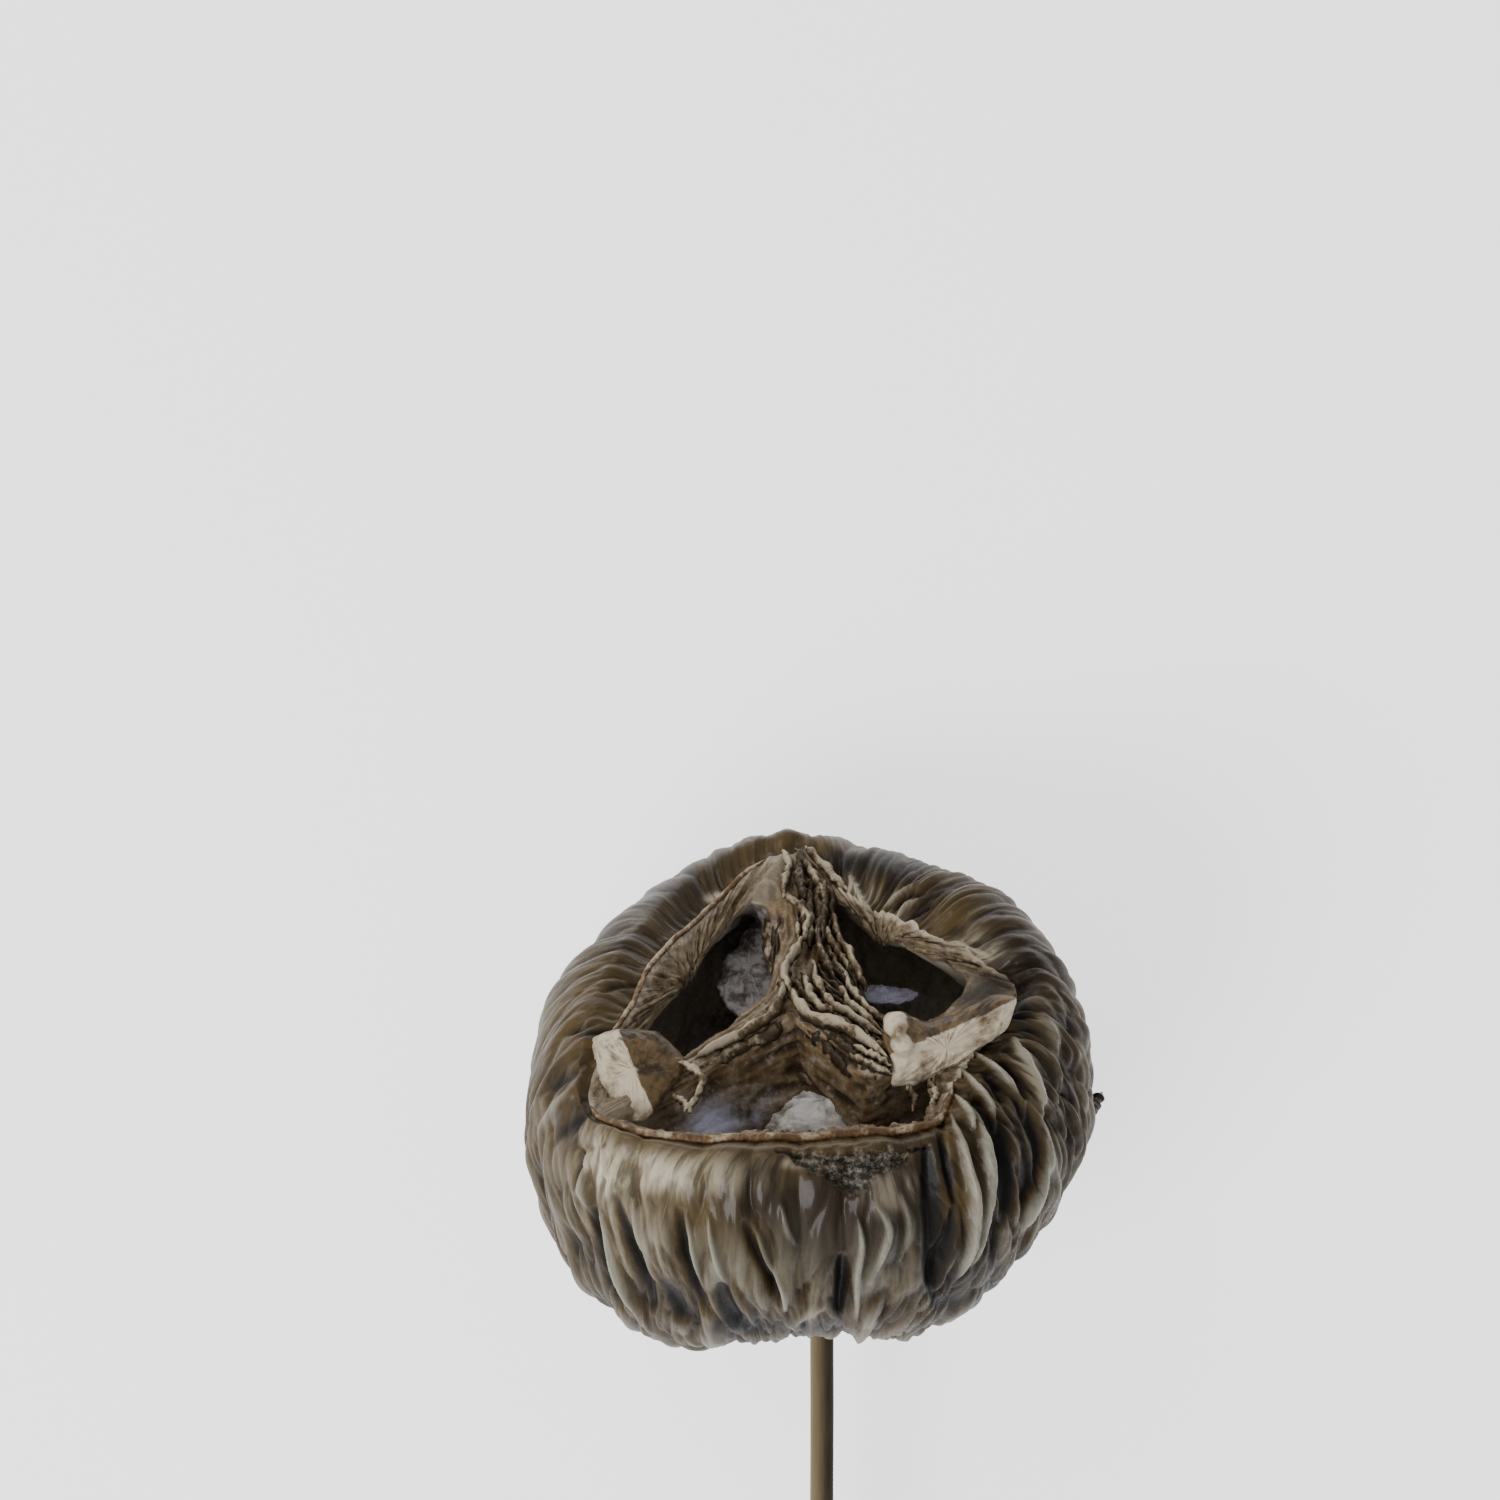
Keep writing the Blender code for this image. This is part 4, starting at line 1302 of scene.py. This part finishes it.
@dataclass(frozen=True)
class Strands:
    """Torn strands of one kind: lines drawn on the picture, with half widths, half heights and tones."""

    lines: tuple[tuple[float, float, float, Table], ...]
    seed: int
    wobble: float = 0.25
    rings: int = 60
    sides: int = 10

    def build(self) -> Surface:
        """Tubes along the lines, their sides pinched to |cos|^1.5 of the turn. Noise moves and swells them.

        Returns:
            The surface of all strands.
        """
        count = len(self.lines)
        t = np.linspace(0.0, 1.0, self.rings)
        line = np.array([open_curve(PICTURE.lifted(drawn), t) for _, _, _, drawn in self.lines])
        wide, high, tone = (np.array([row[item] for row in self.lines])[:, None, None] for item in range(3))
        lattice = np.arange(count)[:, None] / count + 0.0 * t
        along = 0.0 * lattice + t
        tangent = tangents(line)
        side = np.cross(tangent, np.array([0.0, 0.0, 1.0]))
        side /= np.maximum(np.linalg.norm(side, axis=2, keepdims=True), 1e-6)
        over = np.cross(side, tangent)
        sway = slope_noise(lattice, along, count, 7, self.seed)
        sway = sway + 0.4 * slope_noise(lattice, along, count, 19, self.seed + 1)
        lift = slope_noise(lattice, along, count, 9, self.seed + 2)
        line = line + self.wobble * (side * sway[..., None] + over * lift[..., None])
        angle = np.arange(self.sides) * math.tau / self.sides
        taper = ((1.0 - (2.0 * t - 1.0) ** 6) * 0.9 + 0.1)[None, :, None]
        swell = 0.85 + 0.4 * slope_noise(lattice, along, count, 9, self.seed + 3)[..., None]
        ridged = np.sign(np.cos(angle)) * np.abs(np.cos(angle)) ** 1.5
        ring = (wide * swell * taper * ridged)[..., None] * side[:, :, None]
        ring = ring + (high * swell * taper * np.sin(angle))[..., None] * over[:, :, None]
        rings = line[:, :, None] + ring
        shape = rings.shape[:3]
        # crown: 1 on top of each strand, 0 beneath it, read by the finish for painted light and shade
        return Surface.tubes(
            rings, {"tone": tone + np.zeros(shape), "crown": 0.5 + 0.5 * np.sin(angle) + np.zeros(shape)}
        )


@dataclass(frozen=True)
class FibreFill:
    """Finer strands that fill the room between two drawn guide lines, one beside the other."""

    first: Table
    second: Table
    count: int
    radius: float
    seed: int
    arch: float = 0.6

    def lines(self) -> tuple[tuple[float, float, float, Table], ...]:
        """Drawn lines between the guides, evenly spread, each with its own start, end, width and tone."""
        chance = np.random.default_rng(self.seed)
        t = np.linspace(0.0, 1.0, 7)
        first, second = open_curve(np.array(self.first, float), t), open_curve(np.array(self.second, float), t)
        made = []
        for index in range(self.count):
            share = (index + 0.5) / self.count + chance.uniform(-0.3, 0.3, 7) / self.count
            low, high = chance.uniform(0.0, 0.2), chance.uniform(0.8, 1.0)
            drawn = first * (1 - share[:, None]) + second * share[:, None]
            drawn[:, 2] += self.arch * 4.0 * share * (1 - share) - 0.3
            drawn = open_curve(drawn, low + (high - low) * t)
            size = self.radius * chance.uniform(0.6, 1.2)
            made.append((size, 2.2 * size, chance.uniform(0.0, 0.65), tuple(map(tuple, drawn))))
        return tuple(made)


@dataclass(frozen=True)
class InnerFibres:
    """All torn strands over the inner walls, as one piece."""

    drawn: tuple[tuple[float, float, float, Table], ...] = (
        (0.55, 1.1, 0.9, ((782, 850, 19.2), (789, 864, 18.9), (785, 882, 18.4), (783, 898, 17.8))),
        (0.60, 1.0, 0.9, ((805, 846, 19.4), (818, 860, 19.2), (836, 878, 18.8), (850, 897, 17.8))),
        (0.60, 1.2, 0.5, ((795, 848, 19.2), (806, 866, 19.2), (818, 884, 18.4), (826, 905, 17.4))),
        (0.80, 1.3, 0.3, ((800, 860, 19.0), (800, 880, 18.8), (806, 900, 18.0))),
        (0.70, 1.2, 0.7, ((783, 895, 17.4), (800, 906, 17.4), (808, 922, 17.4), (803, 941, 17.2))),
        (0.60, 1.4, 0.9, ((804, 938, 17.4), (793, 955, 17.6), (784, 972, 17.4), (790, 988, 17.2))),
        (
            0.55,
            1.6,
            0.9,
            (
                (787, 984, 17.4),
                (798, 1003, 17.2),
                (813, 1019, 17.2),
                (835, 1023, 17.4),
                (855, 1033, 17.4),
                (888, 1058, 17.4),
            ),
        ),
        (0.55, 1.5, 0.6, ((833, 914, 17.6), (838, 936, 17.8), (849, 955, 17.8), (860, 976, 17.6), (866, 992, 17.2))),
        (0.45, 1.3, 0.8, ((845, 972, 17.4), (853, 993, 17.6), (871, 1012, 17.6), (888, 1024, 17.4))),
        (0.45, 1.3, 0.7, ((838, 985, 17.0), (848, 1002, 17.4), (862, 1014, 17.4), (880, 1030, 17.2))),
        (0.50, 1.4, 0.8, ((812, 960, 17.0), (818, 984, 17.6), (829, 1003, 17.6), (846, 1013, 17.4), (884, 1036, 17.4))),
        (0.60, 1.2, 0.9, ((803, 976, 17.2), (811, 995, 17.6), (822, 1009, 17.4), (836, 1012, 17.0))),
        (0.50, 1.3, 0.6, ((826, 926, 17.4), (831, 941, 17.6), (840, 954, 17.6), (848, 968, 17.2))),
        (0.50, 1.3, 0.4, ((818, 930, 17.2), (820, 948, 17.4), (828, 965, 17.4), (836, 985, 17.0))),
        (0.30, 0.9, 0.9, ((862, 1036, 16.8), (876, 1044, 17.0), (890, 1053, 17.2))),
        (0.32, 0.9, 0.8, ((853, 1046, 16.2), (872, 1055, 16.6), (892, 1066, 16.8))),
        (0.32, 0.9, 0.8, ((848, 1055, 15.6), (868, 1064, 16.2), (893, 1075, 16.4))),
        (0.60, 1.4, 0.3, ((826, 1036, 15.4), (842, 1044, 15.4), (858, 1062, 15.0), (876, 1080, 14.6))),
        (0.60, 1.4, 0.2, ((805, 1030, 14.4), (820, 1042, 14.2), (836, 1058, 13.8), (850, 1078, 13.0))),
        (1.30, 1.6, 0.35, ((784, 966, 16.8), (787, 990, 15.6), (793, 1012, 13.4), (799, 1036, 10.4))),
        (
            0.80,
            1.1,
            0.8,
            (
                (784, 978, 17.0),
                (780, 1000, 16.6),
                (766, 1019, 16.4),
                (743, 1032, 16.4),
                (716, 1046, 16.2),
                (697, 1057, 16.0),
            ),
        ),
        (
            1.00,
            1.3,
            0.4,
            ((788, 1008, 15.2), (775, 1031, 14.8), (750, 1044, 14.6), (722, 1058, 14.4), (698, 1068, 14.4)),
        ),
        (0.60, 1.0, 0.5, ((784, 1030, 12.6), (768, 1049, 12.2), (740, 1059, 12.2), (705, 1076, 12.6))),
        (
            0.55,
            0.8,
            0.9,
            ((678, 1062, 16.8), (693, 1068, 16.8), (702, 1080, 16.4), (696, 1098, 15.8), (684, 1112, 15.2)),
        ),
        (0.50, 0.7, 0.8, ((672, 1096, 15.4), (684, 1102, 15.4), (692, 1112, 15.0))),
        (0.45, 0.8, 0.6, ((905, 1083, 15.8), (915, 1098, 15.4), (912, 1112, 15.0))),
        (0.45, 0.8, 0.8, ((928, 1080, 16.4), (936, 1094, 16.0), (930, 1108, 15.6))),
    )
    fills: tuple[FibreFill, ...] = (
        FibreFill(
            ((790, 985, 16.4), (800, 1006, 16.2), (826, 1022, 16.2), (852, 1032, 16.2), (888, 1060, 16.4)),
            ((832, 920, 16.8), (838, 942, 17.0), (850, 962, 17.0), (862, 990, 16.6), (888, 1022, 16.6)),
            12,
            0.42,
            61,
        ),
        FibreFill(
            ((784, 850, 17.2), (786, 875, 17.0), (788, 900, 16.8), (798, 930, 16.6), (790, 962, 16.4)),
            ((812, 852, 17.2), (834, 880, 17.0), (838, 905, 16.8), (832, 930, 16.6), (824, 958, 16.4)),
            6,
            0.85,
            71,
        ),
        FibreFill(
            ((783, 862, 16.8), (781, 890, 16.4), (779, 920, 16.0), (778, 948, 15.6), (776, 975, 15.2)),
            ((772, 872, 15.4), (767, 900, 14.2), (765, 930, 13.4), (764, 955, 13.0), (766, 980, 13.0)),
            5,
            0.5,
            79,
            0.0,
        ),
        FibreFill(
            ((782, 1035, 11.0), (800, 1050, 9.0), (830, 1060, 9.0), (870, 1085, 12.0)),
            ((700, 1068, 13.0), (716, 1078, 10.0), (740, 1088, 7.0), (780, 1090, 4.0)),
            9,
            0.5,
            75,
            0.0,
        ),
    )

    def dress(self) -> bpy.types.Object:
        """Makes the piece."""
        whole = Strands(self.drawn, 81).build()
        for fill in self.fills:
            whole = whole.joined(Strands(fill.lines(), fill.seed, 0.3, 40, 8).build())
        return whole.piece("inner_fibres", "husk", TornFibre())


@dataclass(frozen=True)
class RolledRim:
    """A thin rolled lip along a part of the cut rim."""

    name: str
    rim_points: np.ndarray
    first: float
    last: float
    radius: float
    tone: float
    rings: int = 400
    sides: int = 12

    def dress(self) -> bpy.types.Object:
        """Makes the piece: a tube along the smoothed rim, swelling and thinning by noise."""
        columns = len(self.rim_points)
        at = np.linspace(self.first, self.last, self.rings) / 360.0 * columns
        smooth = np.stack([running_mean(self.rim_points[:, axis], 8) for axis in range(3)], axis=-1)
        line = np.stack([np.interp(at, np.arange(columns), smooth[:, axis]) for axis in range(3)], axis=-1)
        t = np.linspace(0.0, 1.0, self.rings)
        tangent = tangents(line)
        side = np.cross(tangent, np.array([0.0, 0.0, 1.0]))
        over = np.cross(side, tangent)
        sway = slope_noise(0.0 * t, t, 1, 23, 65) + 0.6 * slope_noise(0.0 * t, t, 1, 70, 66)
        line = line + 0.12 * sway[:, None] * side + 0.15 * over
        taper = (1.0 - (2.0 * t - 1.0) ** 10) * 0.9 + 0.1
        size = self.radius * taper * (1.0 + 0.1 * slope_noise(0.0 * t, t, 1, 30, 67))
        angle = np.arange(self.sides) * math.tau / self.sides
        ring = np.cos(angle)[:, None] * side[:, None] + np.sin(angle)[:, None] * over[:, None]
        rings = (line[:, None] + size[:, None, None] * ring)[None]
        # painted highlight: the tone rises along one side of the lip, its lit edge; crown feeds the painted shade
        # beneath
        tone = self.tone + 0.3 * (0.5 + 0.5 * np.cos(angle)) + np.zeros(rings.shape[:3])
        lip = Surface.tubes(rings, {"tone": tone, "crown": 0.6 + 0.4 * np.sin(angle) + np.zeros(rings.shape[:3])})
        return lip.piece(self.name, "husk", RolledFibre())


@dataclass(frozen=True)
class TornFlap:
    """A torn, thick flap: an outline in the level frame, with a ridge that parts its torn side from its skin side."""

    name: str
    outline: Table
    middle: tuple[float, float, float]
    thickness: float
    ridge_from: tuple[float, float]
    ridge_to: tuple[float, float]
    torn_slope: float
    skin_slope: float
    seed: int
    lumps: Table = ()
    lean: float = 0.0
    finish: Finish = TornFlesh()
    rings: int = 60
    columns: int = 300

    def outline_points(self) -> np.ndarray:
        """The outline as a closed ring with slightly rounded corners: straight sides, smoothed by a running mean."""
        corners = np.array(self.outline, float)
        length = np.linalg.norm(np.roll(corners, -1, axis=0) - corners, axis=1)
        ends = np.concatenate([[0.0], np.cumsum(length)])
        at = np.linspace(0.0, ends[-1], self.columns, endpoint=False)
        closed = np.concatenate([corners, corners[:1]])
        ring = (np.interp(at, ends, closed[:, axis]) for axis in range(2))
        return np.stack([running_mean(part, self.columns // 60) for part in ring], axis=-1)

    def build(self) -> tuple[np.ndarray, Values]:
        """Rows from the middle of the top over the edge to the middle of the underside.

        The top is a roof of two planes that meet in the ridge, raised by round lumps, the edge is rounded, the whole
        rises by the lean for each millimetre towards the back, and noise roughens all.

        Returns:
            The rows in the pod frame and the named values.
        """
        ring = self.outline_points()
        s = np.linspace(0.0, 1.0, self.rings)[:, None]
        size = np.sin(np.pi * s) ** 0.55
        size[0], size[-1] = 0.0, 0.0
        turn = np.arange(self.columns)[None, :] / self.columns + 0.0 * s
        down = s + 0.0 * turn
        rough = slope_noise(turn, down, 22, 7, self.seed) + 0.5 * slope_noise(turn, down, 60, 16, self.seed + 1)
        flat = ring[None] * (size * (1.0 + 0.035 * rough))[..., None]
        start, end = np.array(self.ridge_from), np.array(self.ridge_to)
        along = (end - start) / np.linalg.norm(end - start)
        beside = (flat[..., 0] - start[0]) * along[1] - (flat[..., 1] - start[1]) * along[0]
        beside = beside + 0.25 * rough
        roof = -self.torn_slope * np.maximum(beside, 0.0) - self.skin_slope * np.maximum(-beside, 0.0)
        lump = np.zeros(roof.shape)
        for x, y, radius, rise in self.lumps:
            square = ((flat[..., 0] - x) ** 2 + (flat[..., 1] - y) ** 2) / radius**2
            lump += rise * np.exp(-square * square)
        top = np.cos(np.pi * s)
        edge = np.sign(top) * np.abs(top) ** 0.4
        height = 0.5 * self.thickness * edge + (roof + lump) * (0.5 + 0.5 * edge) + self.lean * flat[..., 1]
        points = np.concatenate([flat, height[..., None]], axis=-1)
        points = points + surface_normals(points) * (0.28 * rough * np.sin(np.pi * s) ** 0.3)[..., None]
        torn = np.maximum(smooth_step(beside, -0.5, 0.5), np.clip(lump, 0.0, 1.0))
        values = {"torn": torn, "relief": np.clip(0.6 + 0.5 * rough, 0.0, 1.0)}
        return (points + np.array(self.middle)) @ LEVEL.T, values

    def dress(self) -> bpy.types.Object:
        """Makes the piece."""
        rows, values = self.build()
        top = Surface.closed_grid(rows[::-1], {name: value[::-1] for name, value in values.items()}, flip=True)
        return top.piece(self.name, "husk", self.finish)


@dataclass(frozen=True)
class LiningScrap:
    """The scrap of seed lining in the front chamber: a rough lump whose top shows."""

    middle: tuple[float, float, float] = (2.6, -8.2, 0.5)
    half_sizes: tuple[float, float, float] = (10.6, 4.8, 6.8)

    def dress(self) -> bpy.types.Object:
        """Makes the piece: an ellipsoid, pushed in and out by noise."""
        rise = np.linspace(-0.5 * math.pi, 0.5 * math.pi, 120)[:, None]
        turn = np.arange(240)[None, :] / 240.0
        grid_rise, grid_turn = rise + 0.0 * turn, turn + 0.0 * rise
        rough = slope_noise(grid_turn, grid_rise / math.tau, 6, 10, 91)
        rough = rough + 0.4 * slope_noise(grid_turn, grid_rise / math.tau, 18, 30, 92)
        rough = rough + 0.12 * slope_noise(grid_turn, grid_rise / math.tau, 60, 110, 93)
        size = 1.0 + 0.2 * rough * np.abs(np.cos(grid_rise)) ** 0.5
        rows = polar(size * np.cos(grid_rise), grid_turn * math.tau, size * np.sin(grid_rise))
        rows = rows * np.array(self.half_sizes) + np.array(self.middle)
        values = {"torn": 0.6 + 0.4 * rough, "relief": np.clip(0.55 + 0.5 * rough, 0.0, 1.0)}
        return Surface.closed_grid(rows, values, flip=True).piece("lining_scrap", "husk", GreyLining())


@dataclass(frozen=True)
class Stick:
    """The round stick, from its far end on the surface into the husk, in world millimetres."""

    radius: float = 1.6
    rings: int = 90
    sides: int = 40

    def dress(self) -> bpy.types.Object:
        """Makes the piece: a tube along the CAD stick's axis, its surface a little uneven."""
        low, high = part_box("stick")
        x = 0.5 * (low[0] + high[0]) / MM
        start = np.array([x, low[1] / MM, self.radius])
        end = np.array([x, high[1] / MM, high[2] / MM - self.radius])
        ahead = (end - start) / np.linalg.norm(end - start)
        t = np.linspace(0.0, 1.0, self.rings)[:, None]
        line = start + (end - start) * t
        side = np.array([1.0, 0.0, 0.0])
        up = np.cross(side, ahead)
        angle = np.arange(self.sides) * math.tau / self.sides
        turn = np.arange(self.sides)[None, :] / self.sides + 0.0 * t
        uneven = self.radius - 0.05 + 0.04 * slope_noise(turn, t + 0.0 * turn, 9, 24, 95)
        uneven[0] -= 0.15
        ring = np.cos(angle)[:, None] * side + np.sin(angle)[:, None] * up
        rings = (line[:, None] + uneven[..., None] * ring)[None]
        left = 0.5 - 0.5 * np.cos(angle)[None, None, :] + np.zeros(rings.shape[:3])
        inside = (rings - POD_MIDDLE / MM) @ LEVEL.T
        return Surface.tubes(inside, {"left": left}).piece("round_stick", "stick", StickWood())


@dataclass(frozen=True)
class Lamp:
    """A soft square light that looks at the pod: its place from the pod's middle and its side in metres, in watts."""

    name: str
    place: tuple[float, float, float]
    size: float
    power: float
    colour: tuple[float, float, float]

    def build(self) -> None:
        """Adds the light, turned towards the pod."""
        light = bpy.data.lights.new(self.name, "AREA")
        light.size, light.energy, light.color = self.size, self.power, self.colour
        made = bpy.data.objects.new(self.name, light)
        bpy.context.scene.collection.objects.link(made)
        x, y, z = self.place
        made.location = (POD_MIDDLE[0] + x, POD_MIDDLE[1] + y, POD_MIDDLE[2] + z)
        away = math.hypot(x, y)
        made.rotation_euler = (math.atan2(away, z), 0.0, math.atan2(x, -y) if away else 0.0)


@dataclass(frozen=True)
class Studio:
    """Floor, soft lights and the camera straight above."""

    floor_half: float = 1.5
    sensor: float = 36.0
    sky_colour: tuple[float, float, float, float] = (0.90, 0.93, 1.0, 1.0)
    sky_strength: float = 0.42
    lamps: tuple[Lamp, ...] = (
        Lamp("key", (-0.42, -0.34, 0.6), 0.4, 5.2, (0.97, 0.97, 1.0)),
        Lamp("back", (-0.35, 0.5, 0.6), 0.4, 1.6, (1.0, 0.97, 0.92)),
    )

    def build(self) -> None:
        """Makes the floor, the sky, the lights and the camera."""
        half = self.floor_half
        mesh = bpy.data.meshes.new("floor")
        mesh.from_pydata([(-half, -half, 0), (half, -half, 0), (half, half, 0), (-half, half, 0)], [], [(0, 1, 2, 3)])
        floor = bpy.data.objects.new("floor", mesh)
        bpy.context.scene.collection.objects.link(floor)
        mesh.materials.append(PaleFloor().material())
        world = bpy.data.worlds.new("sky")
        bpy.context.scene.world = world
        world.use_nodes = True
        sky = world.node_tree.nodes["Background"]
        sky.inputs["Color"].default_value = self.sky_colour
        sky.inputs["Strength"].default_value = self.sky_strength
        for lamp in self.lamps:
            lamp.build()
        camera = bpy.data.objects.new("camera", bpy.data.cameras.new("camera"))
        bpy.context.scene.collection.objects.link(camera)
        camera.location = tuple(POD_MIDDLE + np.array(PICTURE.camera) * MM)
        camera.data.sensor_width = self.sensor
        camera.data.lens = self.sensor * PICTURE.camera[2] / PICTURE.size
        camera.data.clip_start = 0.01
        bpy.context.scene.camera = camera


LEFT_FLAP = TornFlap(
    name="torn_flap_left",
    outline=((-5.5, 3.6), (-2.4, 4.8), (2.9, 4.5), (6.4, 1.0), (5.6, -1.4), (1.4, -6.4), (-1.4, -6.6), (-4.4, -1.9)),
    middle=(-21.4, 4.6, 18.9),
    thickness=5.5,
    ridge_from=(-1.9, 4.6),
    ridge_to=(2.4, -5.0),
    torn_slope=0.55,
    skin_slope=0.3,
    seed=101,
    lean=-0.4,
)
RIGHT_FLAP = TornFlap(
    name="torn_flap_right",
    outline=(
        (-7.6, 4.1),
        (-5.6, 4.5),
        (-2.5, 2.9),
        (1.9, 4.3),
        (6.3, 6.6),
        (9.1, 6.3),
        (7.8, 2.2),
        (0.1, -2.9),
        (-3.5, -4.7),
        (-6.8, -5.0),
        (-6.5, -1.9),
        (-7.7, 0.6),
    ),
    middle=(17.2, 7.2, 18.2),
    thickness=5.5,
    ridge_from=(-6.5, -0.8),
    ridge_to=(9.0, 6.2),
    torn_slope=0.25,
    skin_slope=0.5,
    seed=111,
    lumps=((-6.2, 3.0, 1.5, 1.6), (-5.4, 0.4, 1.4, 1.2), (-6.2, -3.6, 1.2, 0.4)),
)

LEFT_FILM = TornFlap(
    name="lining_film_left",
    outline=(
        (4.0, 8.5),
        (5.0, 1.2),
        (4.7, -2.6),
        (3.1, -4.6),
        (0.6, -8.4),
        (-1.0, -6.4),
        (-3.1, -4.5),
        (-3.9, -1.8),
        (-3.1, 0.6),
        (-0.9, 3.6),
        (1.5, 6.6),
    ),
    middle=(-7.2, 16.2, -2.2),
    thickness=1.2,
    ridge_from=(9.0, -12.0),
    ridge_to=(9.0, 12.0),
    torn_slope=0.0,
    skin_slope=0.35,
    seed=121,
    lean=-1.05,
    finish=LilacLining(),
)
# painted glint: a thin sheet of lining low in the right chamber, all on its torn side, whose lilac cream shows the
# glint
RIGHT_GLINT_FILM = TornFlap(
    name="lining_glint_film_right",
    outline=((-4.2, 0.8), (-1.0, 1.1), (3.6, 0.5), (4.6, -0.3), (2.0, -1.2), (-3.0, -1.0)),
    middle=(10.2, 12.6, -6.5),
    thickness=1.2,
    ridge_from=(-9.0, -12.0),
    ridge_to=(-9.0, 12.0),
    torn_slope=0.1,
    skin_slope=0.0,
    seed=131,
    lean=-0.9,
    finish=LilacLining(),
)

THORN = Strands(lines=((0.9, 0.9, 0.1, ((1083, 1124, -1.5), (1092, 1110, -1.5), (1102, 1092, -1.5))),), seed=68)


def main() -> None:
    """Builds every piece in order."""
    logging.basicConfig(level=logging.INFO, format="%(name)s: %(message)s")
    skin_rows, skin_values = HuskSkin().build()
    Surface.closed_grid(skin_rows, skin_values).piece("husk_skin", "husk", VarnishedSkin())
    rim = skin_rows[0]
    for side in Side:
        SeedChamber(side, rim).dress()
    RolledRim(name="rolled_rim_front", rim_points=rim, first=213.0, last=319.0, radius=0.62, tone=0.25).dress()
    RolledRim(name="rolled_rim_left", rim_points=rim, first=101.0, last=203.0, radius=0.38, tone=0.4).dress()
    THORN.build().piece("thorn", "husk", TornFibre())
    InnerFibres().dress()
    LEFT_FLAP.dress()
    RIGHT_FLAP.dress()
    LEFT_FILM.dress()
    RIGHT_GLINT_FILM.dress()
    LiningScrap().dress()
    Stick().dress()
    Studio().build()


if __name__ == "__main__":
    main()
